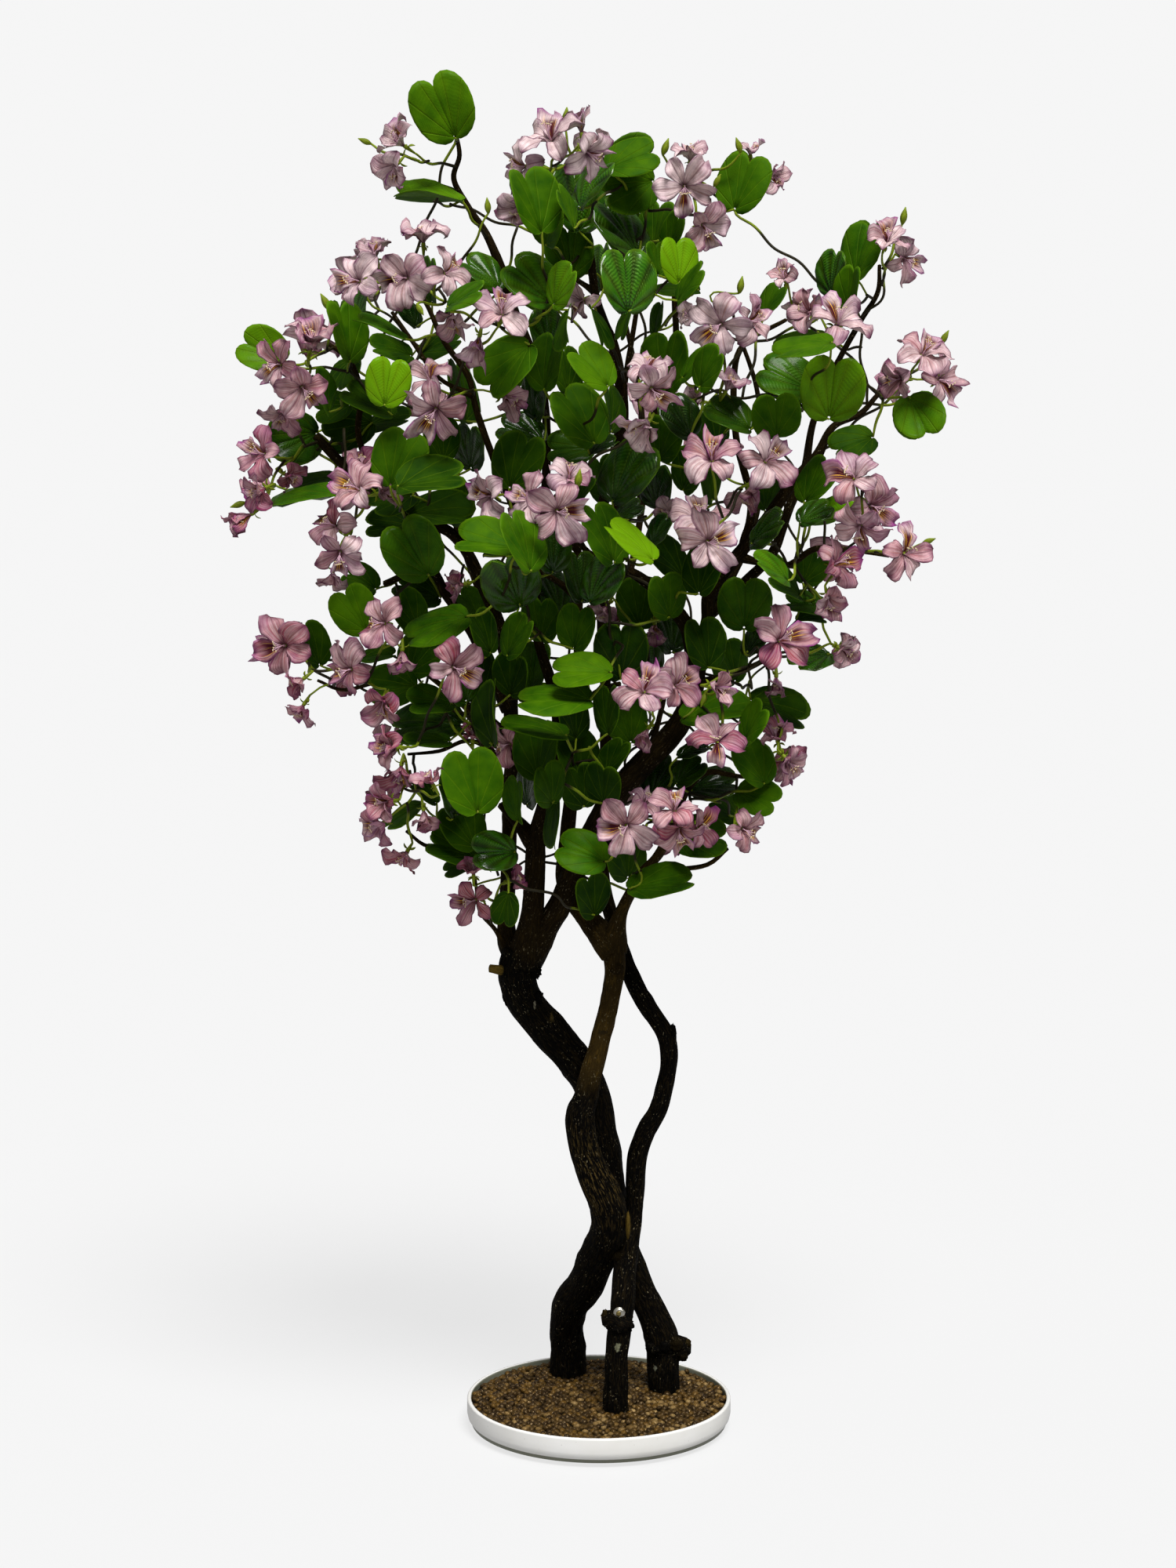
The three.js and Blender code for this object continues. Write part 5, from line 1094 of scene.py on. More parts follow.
def makeLeafLook():
    look, tree, shader = newLook("leafBlade", {"Roughness": 0.4, "Specular IOR Level": 0.16,
        "Specular Tint": leafLook["sheen"], "Coat Roughness": 0.16})
    tint, sheet, at = tintOf(tree), sheetOf(tree), objectPlace(tree)
    low = mixed(tree, between(tree, tint[0], 0.0, 0.5), leafLook["deep"], leafLook["middle"])
    tone = mixed(tree, between(tree, tint[0], 0.5, 1.0), low, leafLook["light"])
    toLight = between(tree, tint[0], 0.1, 1.0)
    ribbed = mixed(tree, toLight, leafLook["ribbedDeep"], leafLook["ribbedLight"])
    offVein = calculate(tree, "PINGPONG", times(tree, sheet[0], leafLook["veins"]), 0.5)
    bowed = scaled(tree, offVein, leafLook["ridgeBow"], sheet[1])
    ladder = calculate(tree, "PINGPONG", times(tree, bowed, leafLook["crossRidges"]), 0.5)
    # Painted shade and highlight on ribbed leaves: the valleys along the veins are painted near-black and
    # the crests of the cross ridges are painted lighter
    paintedBulgeLight = between(tree, offVein, 0.03, 0.4)
    ribbed = mixed(tree, paintedBulgeLight, leafLook["valleyShade"], ribbed)
    ribbed = mixed(tree, times(tree, paintedBulgeLight, ladder, tint[0]), ribbed, leafLook["crest"])
    tone = mixed(tree, times(tree, tint[2], leafLook["ribbedShare"]), tone, ribbed)
    cloudy = mottled(tree, at, leafLook["clouds"], 0.3, 0.7)
    lighter = times(tree, cloudy, scaled(tree, tint[0], 0.35, 0.06))
    tone = mixed(tree, lighter, tone, leafLook["light"])
    border = times(tree, between(tree, sheet[1], 0.93, 1.0), leafLook["rimShare"])
    tone = mixed(tree, border, tone, leafLook["rim"])
    thin = calculate(tree, "DIVIDE", leafLook["veinWidth"], calculate(tree, "ADD", sheet[1], 0.35))
    vein = inverse(tree, between(tree, calculate(tree, "DIVIDE", offVein, thin), 0.0, 1.0))
    fade = inverse(tree, times(tree, sheet[1], 0.75))
    plain = scaled(tree, tint[2], -0.2, 0.26)
    tone = mixed(tree, times(tree, vein, fade, plain), tone, leafLook["vein"])
    tone = mixed(tree, times(tree, tint[1], leafLook["underShare"]), tone, leafLook["under"])
    dull = scaled(tree, tint[1], 0.25, scaled(tree, tint[2], -0.3, leafLook["dull"]))
    setInputs(tree, shader, {"Base Color": tone, "Roughness": scaled(tree, cloudy, 0.12, dull),
        "Coat Weight": times(tree, tint[2], tint[2], leafLook["glaze"])})
    cells = mottled(tree, at, leafLook["cells"], 0.3, 0.7)
    height = calculate(tree, "SUBTRACT", times(tree, cells, 0.2), vein)
    rungs = times(tree, ladder, tint[2], leafLook["rungHeight"])
    bumpFrom(tree, shader, calculate(tree, "ADD", height, rungs), 0.0007, 0.8)
    return look


# Stalks: brown on the twig side, yellow-green towards the piece that they carry
stalkLook = {"twig": "#27220b", "green": "#869b1a", "flush": "#565114", "flushShare": 0.45}


def makeStalkLook():
    look, tree, shader = newLook("stalk", {"Roughness": 0.55, "Specular IOR Level": 0.2})
    tint = tintOf(tree)
    patchy = streaked(tree, grainOf(tree), 500.0, 60.0)
    flushed = times(tree, patchy, stalkLook["flushShare"])
    green = mixed(tree, flushed, stalkLook["green"], stalkLook["flush"])
    tone = mixed(tree, between(tree, tint[0], 0.25, 0.75), stalkLook["twig"], green)
    setInputs(tree, shader, {"Base Color": tone})
    bumpFrom(tree, shader, patchy, 0.0003)
    return look


# Petals: pale mauve with fine long streaks, darker ruffled edges, a lip with golden lines, and painted
# shade at the throat.
# The tint holds the petal's paleness, which carries painted light from the flower's height, and whether
# it is the lip.
petalLook = {"base": "#b04a5e", "pale": "#ffe5e5", "deep": "#540a2c", "edge": "#5c1240",
    "gold": "#e6ab2e", "wine": "#4e0f22", "violet": "#8c3080", "fine": (15.0, 1.2, 0.33, 0.67),
    "veins": (34.0, 2.0, 0.52, 0.66), "lipLines": (30.0, 0.8, 0.53, 0.61), "paleFine": 0.5,
    "paleTone": (0.9, -0.06), "veinShare": 0.5, "cloudShare": 0.5, "blushShare": 0.35, "ribShare": 0.5,
    "throatShadeShare": 0.75}


def makePetalLook():
    look, tree, shader = newLook("petalSheet", {"Roughness": 0.5, "Specular IOR Level": 0.15})
    tint, sheet, at = tintOf(tree), sheetOf(tree), objectPlace(tree)
    across = calculate(tree, "ABSOLUTE", scaled(tree, sheet[0], 2.0, -1.0))
    fan = addNode(tree, "CombineXYZ", {0: sheet[0], 1: tint[0], 2: sheet[1]}).outputs[0]
    fine = streaked(tree, fan, *petalLook["fine"])
    paleness = scaled(tree, fine, petalLook["paleFine"], scaled(tree, tint[0], *petalLook["paleTone"]))
    tone = mixed(tree, paleness, petalLook["base"], petalLook["pale"])
    cloudy = mottled(tree, at, 60.0, 0.4, 0.7)
    vein = streaked(tree, fan, *petalLook["veins"])
    tone = mixed(tree, times(tree, vein, petalLook["veinShare"]), tone, petalLook["deep"])
    tone = mixed(tree, times(tree, cloudy, petalLook["cloudShare"]), tone, petalLook["deep"])
    blush = mottled(tree, at, 22.0, 0.5, 0.68)
    tone = mixed(tree, times(tree, blush, petalLook["blushShare"]), tone, petalLook["violet"])
    rim, tip = between(tree, across, 0.74, 1.0), between(tree, sheet[1], 0.74, 1.0)
    edge = calculate(tree, "MAXIMUM", rim, tip)
    worn = times(tree, edge, scaled(tree, cloudy, 0.5, 0.5))
    tone = mixed(tree, worn, tone, mixed(tree, tint[2], petalLook["edge"], petalLook["violet"]))
    rib = inverse(tree, between(tree, across, 0.0, 0.13))
    tone = mixed(tree, times(tree, rib, petalLook["ribShare"]), tone, petalLook["deep"])
    lines = streaked(tree, fan, *petalLook["lipLines"])
    heart = inverse(tree, between(tree, across, 0.35, 0.8))
    inner = inverse(tree, between(tree, sheet[1], 0.5, 0.85))
    lipTone = mixed(tree, lines, petalLook["wine"], petalLook["gold"])
    tone = mixed(tree, times(tree, heart, inner, tint[2]), tone, lipTone)
    # Painted shade: the base of every petal is painted dark wine towards the throat
    throat = inverse(tree, between(tree, sheet[1], 0.05, 0.36))
    tone = mixed(tree, times(tree, throat, petalLook["throatShadeShare"]), tone, petalLook["wine"])
    setInputs(tree, shader, {"Base Color": tone})
    bumpFrom(tree, shader, fine, 0.0006, 0.7)
    return look


stamenLook = {"thread": "#d9b3c2", "tip": "#e8d7a8", "patch": "#b06f8c", "patchShare": 0.3}


def makeStamenLook():
    look, tree, shader = newLook("stamen", {"Roughness": 0.5})
    tone = mixed(tree, tintOf(tree)[0], stamenLook["thread"], stamenLook["tip"])
    patchy = mottled(tree, objectPlace(tree), 400.0)
    tone = mixed(tree, times(tree, patchy, stamenLook["patchShare"]), tone, stamenLook["patch"])
    setInputs(tree, shader, {"Base Color": tone})
    return look


# Bark: dark and fissured low down, smoother and olive on the front trunk's upper half.
# The tint holds the shares of olive, of bare wood and of golden streaks.
barkLook = {"dark": "#030201", "ridge": "#141009", "olive": "#6b521e", "fleck": "#8f8466",
    "gold": "#5c4b26", "scar": "#66521f", "fissures": (330.0, 60.0, 0.5, 0.68),
    "fine": (680.0, 90.0, 0.53, 0.61), "flecks": (520.0, 260.0, 0.63, 0.68), "goldShare": 0.65,
    "fleckShare": 0.75, "specular": 0.05}


def makeBarkLook(name, patches):
    look, tree, shader = newLook(name, {"Roughness": 0.8, "Specular IOR Level": barkLook["specular"]})
    tint, grain, at = tintOf(tree), grainOf(tree), objectPlace(tree)
    fissure = streaked(tree, grain, *barkLook["fissures"])
    cloudy = mottled(tree, at, 26.0, 0.35, 0.7)
    rough = mixed(tree, fissure, barkLook["dark"], barkLook["ridge"])
    smoothTone = mixed(tree, scaled(tree, fissure, 0.45, 0.3), barkLook["ridge"], barkLook["olive"])
    tone = mixed(tree, tint[0], rough, smoothTone)
    clouded = times(tree, cloudy, scaled(tree, tint[0], -0.3, 0.6))
    tone = mixed(tree, clouded, tone, barkLook["dark"])
    fine = streaked(tree, grain, *barkLook["fine"])
    gilt = times(tree, fine, times(tree, tint[2], barkLook["goldShare"]))
    tone = mixed(tree, gilt, tone, barkLook["gold"])
    fleck = streaked(tree, grain, *barkLook["flecks"])
    kept = mottled(tree, at, 55.0, 0.45, 0.6)
    tone = mixed(tree, times(tree, fleck, kept, barkLook["fleckShare"]), tone, barkLook["fleck"])
    for centre, half, colour in patches:
        share = useGroup(tree, spot, Place=at, Centre=centre, Half=half)
        tone = mixed(tree, times(tree, share, scaled(tree, fine, -0.6, 0.95)), tone, colour)
    tone = mixed(tree, tint[1], tone, barkLook["scar"])
    setInputs(tree, shader, {"Base Color": tone})
    pits = mottled(tree, at, 420.0, 0.3, 0.7)
    deep = times(tree, fissure, scaled(tree, tint[0], -0.7, 1.0))
    bumpFrom(tree, shader, scaled(tree, pits, 0.3, deep), 0.0016)
    return look


# Gravel: tan, amber and brown stones with a gloss, each with its own tone.
# The tint holds the stone's tone and a share of painted shade, which darkens the lower part of each stone
# and the bed between the stones.
gravelLook = {"brown": "#281b0b", "tan": "#513c1b", "amber": "#65491a", "pale": "#9c8050",
    "gap": "#030201", "sheen": "#ffdba6", "toTan": (0.05, 0.6), "toAmber": (0.55, 0.85),
    "toPale": (0.82, 1.04), "gloss": 0.14}


def makeGravelLook():
    look, tree, shader = newLook("gravelStone", {"Roughness": 0.3, "Specular IOR Level": 0.4,
        "Specular Tint": gravelLook["sheen"]})
    tint, at = tintOf(tree), objectPlace(tree)
    tone = gravelLook["brown"]
    for step, colour in (("toTan", "tan"), ("toAmber", "amber"), ("toPale", "pale")):
        tone = mixed(tree, between(tree, tint[0], *gravelLook[step]), tone, gravelLook[colour])
    cloudy = mottled(tree, at, 350.0)
    tone = mixed(tree, times(tree, cloudy, 0.5), tone, gravelLook["brown"])
    # Painted shade: the lower part of each stone and the bed under the stones take the near-black shade
    # colour
    tone = mixed(tree, tint[1], tone, gravelLook["gap"])
    dusty = scaled(tree, tint[1], 0.5, gravelLook["gloss"])
    setInputs(tree, shader, {"Base Color": tone, "Roughness": scaled(tree, cloudy, 0.2, dusty)})
    bumpFrom(tree, shader, cloudy, 0.0004)
    return look


# Glaze: off-white with faint pins, worn at the foot and stained inside the wall
glazeLook = {"white": "#faf9f6", "cream": "#f0eee8", "pin": "#a9a596", "foot": "#b9ab93",
    "stain": "#6d7058", "footRise": (0.0035, 0.0015), "stainRadius": (0.1773, 0.1763)}


def makeGlazeLook():
    look, tree, shader = newLook("dishGlaze", {"Roughness": 0.22})
    at = objectPlace(tree)
    cloudy = mottled(tree, at, 14.0, 0.3, 0.7)
    tone = mixed(tree, cloudy, glazeLook["white"], glazeLook["cream"])
    pin = specked(tree, at, 260.0, 0.16, 0.12)
    tone = mixed(tree, times(tree, pin, 0.5), tone, glazeLook["pin"])
    foot = between(tree, addNode(tree, "SeparateXYZ", {0: at}).outputs[2], *glazeLook["footRise"])
    tone = mixed(tree, foot, tone, glazeLook["foot"])
    level = vectorMath(tree, "MULTIPLY", at, (1, 1, 0))[0]
    radius = vectorMath(tree, "LENGTH", level)["Value"]
    stain = between(tree, radius, *glazeLook["stainRadius"])
    tone = mixed(tree, times(tree, stain, 0.9), tone, glazeLook["stain"])
    setInputs(tree, shader, {"Base Color": tone, "Roughness": scaled(tree, foot, 0.5, 0.2)})
    bumpFrom(tree, shader, cloudy, 0.0006, 0.3)
    return look


cementLook = {"dark": "#8f8b81", "light": "#a9a59b", "grit": "#5d594f"}


def makeCementLook():
    look, tree, shader = newLook("cement", {"Roughness": 0.9})
    at = objectPlace(tree)
    tone = mixed(tree, mottled(tree, at, 60.0), cementLook["dark"], cementLook["light"])
    grit = specked(tree, at, 500.0, 0.3, 0.3)
    tone = mixed(tree, times(tree, grit, 0.6), tone, cementLook["grit"])
    setInputs(tree, shader, {"Base Color": tone})
    bumpFrom(tree, shader, grit, 0.0008)
    return look


steelLook = {"steel": "#d2cfc6", "paintedGoldReflection": "#93824a", "worn": "#6d675b"}


def makeSteelLook():
    look, tree, shader = newLook("boltSteel", {"Roughness": 0.3, "Metallic": 1.0})
    tint = tintOf(tree)
    worn = mottled(tree, objectPlace(tree), 500.0)
    # Painted reflection: the tint's first share turns the steel towards the gold that the dome reflects
    tone = mixed(tree, tint[0], steelLook["steel"], steelLook["paintedGoldReflection"])
    tone = mixed(tree, times(tree, worn, 0.3), tone, steelLook["worn"])
    setInputs(tree, shader, {"Base Color": tone, "Roughness": scaled(tree, worn, 0.25, 0.22)})
    bumpFrom(tree, shader, worn, 0.0002)
    return look


# Worn patches on the bark: picture place, depth, half widths in millimetres and colour
scars = {
    "trunk_front": [(770, 1317, -30, (9, 14, 4), "#241c0c")],
    "trunk_right": [(788, 1719, -60, (5, 14, 7.5), "#7d7d63"), (842, 1757, -30, (3, 12, 4), "#6f7059")],
    "trunk_back": [(704, 1298, -10, (3.6, 14, 11), "#43371b"), (682, 1282, -12, (2, 12, 6.5), "#6b6757"),
        (836, 1745, 20, (3, 14, 4), "#6b6c5c")],
}
barkNames = {"trunk_front": "barkFront", "trunk_right": "barkRight", "trunk_back": "barkBack"}


def scarAt(u, v, y, half, colour):
    return tuple(place(u, v, y) / 1000), tuple(h / 1000 for h in half), colour


leafBladeLook = makeLeafLook()
stalkGreenLook = makeStalkLook()
petalSheetLook = makePetalLook()
stamenThreadLook = makeStamenLook()
gravelStoneLook = makeGravelLook()
dishGlazeLook = makeGlazeLook()
castCementLook = makeCementLook()
boltSteelLook = makeSteelLook()
barkLooks = {node: makeBarkLook(name, [scarAt(*scar) for scar in scars[node]])
    for node, name in barkNames.items()}
print("materials made")


# Every piece stands for one node of the frame
def ridePiece(piece, node):
    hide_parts(node)
    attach(piece, "root")


# Numbers of the materials within a spray or a cluster
pieceLooks = {"sheet": 0, "stalk": 1, "stamen": 2}

# Leaves: a fan of rows and columns from the base out to two rounded lobes
halfLeaf = np.array([[0, 0.845], [0.03, 0.915], [0.095, 0.98], [0.19, 1.01], [0.295, 0.985],
    [0.385, 0.91], [0.45, 0.79], [0.485, 0.64], [0.485, 0.47], [0.455, 0.3], [0.39, 0.15],
    [0.295, 0.035], [0.18, -0.035], [0.08, -0.04], [0.012, 0.0]])
leafMesh = {"rows": np.array([0.04, 0.2, 0.38, 0.56, 0.74, 0.9, 1.0]), "thick": 0.7, "ridge": 0.05,
    "plainRidge": 0.008, "ridgeColumns": 3, "plain": 0.66, "ribbedStep": 8, "wave": 0.035, "curl": 0.12,
    "half": 0.47, "tones": [0.16, 0.36, 0.7], "toneChange": 0.3}
leafEdge = np.vstack([halfLeaf[::-1] * [-1, 1], halfLeaf[1:]])

# Tone, from dark to light, and how far it is ribbed, for each of the leaves that show at the front; the
# tone is partly the leaf's own colour and partly painted shade on leaves that lie in shade
leafFinish = [(0.62, 0.15), (0.68, 0.2), (0.45, 0), (0.35, 1), (0.3, 0.2), (0.5, 1), (0.5, 0), (0.38, 0),
    (0.45, 0), (0.4, 1), (0.9, 0.3), (0.55, 1), (0.3, 0), (0.22, 0), (0.5, 0), (0.7, 0.2), (0.55, 0),
    (0.42, 0.2), (0.9, 0.3), (0.1, 0), (0.2, 0), (0.25, 0.6), (0.4, 0.8), (0.52, 0.2), (0.6, 0.6),
    (0.72, 0.4), (0.45, 0), (0.4, 0), (0.3, 0.2), (0.62, 0), (0.3, 0), (0.3, 1), (0.15, 0.3), (0.27, 0),
    (0.42, 0.5), (0.2, 0.5), (0.42, 0.1), (0.52, 0), (0.58, 0), (0.76, 0.3), (0.6, 0.2), (0.5, 0.2),
    (0.33, 0), (0.16, 0), (0.18, 0), (0.05, 0), (0.33, 0.3), (0.18, 0.3), (0.6, 0), (0.52, 0.2),
    (0.55, 0), (0.5, 0.1), (0.25, 0.9), (0.12, 0.9), (0.5, 1), (0.33, 0), (0.12, 0.8), (0.85, 0.1),
    (0.6, 0.5), (0.3, 0.2), (0.1, 0.2), (0.02, 0.3), (0.7, 0.4), (0.5, 0.5), (0.15, 0), (0.5, 0),
    (0.4, 0), (0.5, 0), (0.6, 0), (0.47, 0), (0.18, 0), (0.08, 0.5), (0.12, 0), (0.4, 0), (0.44, 0),
    (0.2, 0), (0.28, 0), (0.17, 0), (0.5, 0.12), (0.18, 0), (0.5, 0)]


def addLeaf(form, item):
    blade, number = item["form"], item["number"]
    shares = leafMesh["rows"][:, None]
    x, y = shares * leafEdge[:, 0], shares * leafEdge[:, 1]
    column = np.abs(np.arange(len(leafEdge)) - (len(halfLeaf) - 1))
    swell = shares * (1.15 - shares) * 3
    ribbed = min(1, max(0, (draw(number * 19 + 4) - leafMesh["plain"]) * leafMesh["ribbedStep"]))
    # Painted shade: leaves of a darker tone, set deeper in the crown, are painted darker; the tone is
    # partly the leaf's own colour
    tone = leafMesh["tones"][item["row"][5]] + leafMesh["toneChange"] * (draw(number * 11 + 2) - 0.5)
    if number < len(leafFinish) and not item["far"]:
        tone, ribbed = leafFinish[number]
    ridge = leafMesh["plainRidge"] + leafMesh["ridge"] * ribbed
    ridges = ridge * np.abs(np.sin(math.pi * column / leafMesh["ridgeColumns"])) * swell
    phase = drawing["turn"] * draw(number * 7 + 3)
    wave = leafMesh["wave"] * np.sin(4.2 * y + 6 * x + phase) * shares ** 2
    curl = leafMesh["curl"] * (draw(number * 5 + 1) - 0.35) * (np.abs(x) / leafMesh["half"]) ** 3
    middle = leafSurface(blade, x, y, ridges + wave - curl)
    sheet = np.stack([np.broadcast_to(column / (len(halfLeaf) - 1), x.shape),
        np.broadcast_to(shares, x.shape)], axis=-1)
    tint = (min(1, max(0, tone)), 0, ribbed)
    addPlate(form, middle, leafMesh["thick"], tint, sheet, pieceLooks["sheet"], blade["face"])


# The last stretch before a piece is green; further back the stalk is a brown, slightly crooked twig
stalkMesh = {"green": 46, "blend": 26, "crook": 3.2, "wave": 38, "held": 30, "sides": 6, "ring": 6,
    "thinnest": 0.5, "spurSwell": 1.1}


def addStalk(form, item):
    path, values = smoothPath(item["path"], item["radii"], stalkMesh["ring"])
    run = runAlong(path)
    left = run[-1] - run
    green = np.clip((stalkMesh["green"] + stalkMesh["blend"] / 2 - left) / stalkMesh["blend"], 0, 1)
    side, across = framesAlong(path)[1:]
    crook = np.minimum(1, np.minimum(run, left) / stalkMesh["held"])[:, None] * stalkMesh["crook"]
    phase = drawing["turn"] * draw(item["number"] * 3 + 1)
    path = path + crook * (side * np.sin(run / stalkMesh["wave"] * 3 + phase)[:, None]
        + across * np.sin(run / stalkMesh["wave"] * 2 + 2 * phase)[:, None])
    tint = np.column_stack([green, np.zeros(len(path)), np.full(len(path), draw(item["number"]))])
    radii = np.maximum(values[:, 0], stalkMesh["thinnest"])
    addTube(form, path, radii, stalkMesh["sides"], tint, pieceLooks["stalk"])


def addSpur(form, group):
    radii = [stem["twig"] * stalkMesh["spurSwell"], stem["twig"]]
    path, values = smoothPath(group["spur"], radii, stalkMesh["ring"])
    addTube(form, path, values[:, 0], stalkMesh["sides"], (0, 0, 0), pieceLooks["stalk"])


# Petals: ruffled sheets that spread from the throat and turn back at their tips
petalMesh = {"rows": 12, "columns": 9, "thick": 0.45, "ruffle": 0.075, "cup": 0.6, "tipCurl": 1.9,
    "start": 0.38, "bend": 1.1, "drift": 0.34, "twist": 1.5, "fold": 0.2, "lipRuffle": 1.7,
    "aside": 0.22, "openChange": 30, "curlFrom": 0.6, "shortest": 0.83, "longer": 0.22,
    "slimmest": 0.84, "wider": 0.34, "waves": (1.6, 3.1), "secondWave": 0.7,
    "half": [[0, 0.04], [0.1, 0.055], [0.22, 0.105], [0.36, 0.185], [0.5, 0.265], [0.64, 0.315],
        [0.76, 0.31], [0.86, 0.25], [0.94, 0.155], [1, 0.04]]}


# Painted light and shade: flowers high up and near the middle are painted palest, those low down and far
# out darker
petalTone = {"middle": 0.5, "rise": 0.00075, "height": 1250, "outward": 0.0007, "reach": 180,
    "petalChange": 0.55, "bloomChange": 0.4, "plainLip": 0.12}


def addPetal(form, head, petal, seed):
    t = np.linspace(0, 1, petalMesh["rows"])
    s = np.linspace(-1, 1, petalMesh["columns"])
    way, side = petalWay(head, petal + petalMesh["aside"] * (draw(seed) - 0.5))
    opened = openingOf(head, petal, petalMesh["openChange"] * (draw(seed + 1) - 0.5))
    tilt = opened * (petalMesh["start"] + petalMesh["bend"] * t)
    tipShare = np.maximum(0, t - petalMesh["curlFrom"])
    tilt = tilt + petalMesh["tipCurl"] * (draw(seed + 2) - 0.3) * tipShare / (1 - petalMesh["curlFrom"])
    length = head["size"] * (petalMesh["shortest"] + petalMesh["longer"] * draw(seed + 3))
    steps = np.gradient(t)
    out = np.cumsum(np.sin(tilt) * steps) - np.sin(tilt[0]) * steps[0]
    high = np.cumsum(np.cos(tilt) * steps) - np.cos(tilt[0]) * steps[0]
    drift = petalMesh["drift"] * (draw(seed + 10) - 0.5) * t ** 2
    spine = head["throat"] + length * (np.multiply.outer(out, way) + np.multiply.outer(high, head["face"])
        + np.multiply.outer(drift, side))
    normal = np.multiply.outer(np.sin(tilt), head["face"]) - np.multiply.outer(np.cos(tilt), way)
    table = np.array(petalMesh["half"])
    fullness = petalMesh["slimmest"] + petalMesh["wider"] * draw(seed + 4)
    half = np.interp(t, table[:, 0], table[:, 1]) * fullness
    twist = petalMesh["twist"] * (draw(seed + 5) - 0.5) * t
    sideways = np.multiply.outer(half, s) * length
    ramp = np.minimum(1, t * 1.5)[:, None] * np.abs(s) ** 1.5
    ramp = ramp * (petalMesh["lipRuffle"] if petal == 0 else 1)
    sign = np.sign(s) * (draw(seed + 11) - 0.5)
    slow, quick = petalMesh["waves"]
    first = np.sin(drawing["turn"] * (slow * t[:, None] + draw(seed + 6)) + 5 * sign)
    second = np.sin(drawing["turn"] * (quick * t[:, None] + draw(seed + 7)) - 9 * sign)
    ruffle = petalMesh["ruffle"] * ramp * first
    ruffle = ruffle + petalMesh["secondWave"] * petalMesh["ruffle"] * ramp * second
    cup = petalMesh["cup"] * (draw(seed + 8) - 0.2) * half[:, None] * s ** 2
    cup = cup + petalMesh["fold"] * half[:, None] * np.abs(s)
    lift = (ruffle + cup) * length + sideways * twist[:, None]
    middle = spine[:, None, :] + sideways[:, :, None] * side + lift[:, :, None] * normal[:, None, :]
    sheet = np.stack([np.broadcast_to(s * 0.5 + 0.5, sideways.shape),
        np.broadcast_to(t[:, None], sideways.shape)], axis=-1)
    # Painted light: petals are painted paler the higher the flower stands and darker the further out it
    # is
    paintedLightPaleness = petalTone["middle"] + petalTone["rise"] * (head["throat"][2] - petalTone["height"])
    paintedLightPaleness = paintedLightPaleness - petalTone["outward"] * (abs(head["throat"][0]) - petalTone["reach"])
    tone = paintedLightPaleness + petalTone["petalChange"] * (draw(seed + 9) - 0.5)
    tone = tone + petalTone["bloomChange"] * (draw(seed - petal * 10 + 12) - 0.5)
    tint = (min(1, max(0, tone)), 0, 1.0 if petal == 0 else petalTone["plainLip"])
    addPlate(form, middle, petalMesh["thick"], tint, sheet, pieceLooks["sheet"], normal.mean(axis=0))


stamenMesh = {"last": 5, "fan": 0.55, "length": 0.62, "curve": 0.34, "rings": 6, "radius": 0.5,
    "sides": 4, "anther": [0.5, 0.95, 0.5], "antherHalf": 1.6, "antherSides": 5}


def addStamens(form, head, seed):
    for i in range(stamenMesh["last"] + 1):
        turn = stamenMesh["fan"] * (i - stamenMesh["last"] / 2) * 0.5
        lean = head["lip"] * math.cos(turn) + head["across"] * math.sin(turn)
        t = np.linspace(0, 1, stamenMesh["rings"])[:, None]
        size = head["size"] * stamenMesh["length"] * (0.85 + 0.3 * draw(seed + i))
        path = head["throat"] + size * (head["face"] * (t - 0.2 * t * t)
            - lean * stamenMesh["curve"] * t * (1 - 1.9 * t))
        radii = np.full(stamenMesh["rings"], stamenMesh["radius"])
        addTube(form, path, radii, stamenMesh["sides"], (0, 0, 0), pieceLooks["stamen"])
        half = unit(head["across"]) * stamenMesh["antherHalf"]
        anther = np.vstack([path[-1] - half, path[-1], path[-1] + half])
        addTube(form, anther, np.array(stamenMesh["anther"]), stamenMesh["antherSides"], (1, 0, 0),
            pieceLooks["stamen"])


calyxMesh = {"sepals": 3, "length": 0.3, "half": 2.0, "thick": 0.6, "sides": 6, "rows": 5,
    "cup": [1.5, 2.2, 3.0, 2.4], "waist": 7, "into": 3}


def addCalyx(form, head, seed):
    foot = head["throat"] - head["face"] * stem["calyx"]
    into = head["face"] * calyxMesh["into"]
    waist = foot + head["face"] * calyxMesh["waist"]
    path = np.array([foot, waist, head["throat"], head["throat"] + into])
    addTube(form, path, np.array(calyxMesh["cup"]), calyxMesh["sides"], (1, 0, 0), pieceLooks["stalk"])
    for k in range(calyxMesh["sepals"]):
        way, side = petalWay(head, k * flowerForm["petals"] / calyxMesh["sepals"] + 0.5)
        t = np.linspace(0, 1, calyxMesh["rows"])
        tilt = np.radians(60 + 70 * t + 20 * draw(seed + k))
        reach = head["size"] * calyxMesh["length"]
        out = np.cumsum(np.sin(tilt)) / calyxMesh["rows"]
        high = np.cumsum(np.cos(tilt)) / calyxMesh["rows"]
        spine = head["throat"] - into + reach * (np.multiply.outer(out, way)
            + np.multiply.outer(high, head["face"]))
        half = calyxMesh["half"] * np.sin(math.pi * (0.15 + 0.82 * t))
        s = np.linspace(-1, 1, 3)
        middle = spine[:, None, :] + np.multiply.outer(half, s)[:, :, None] * side
        addPlate(form, middle, calyxMesh["thick"], (1, 0, 0), np.zeros(middle.shape[:2] + (2,)),
            pieceLooks["stalk"], head["face"])


budMesh = {"radii": [0.08, 0.15, 0.2, 0.21, 0.19, 0.14, 0.08, 0.03], "sides": 8}


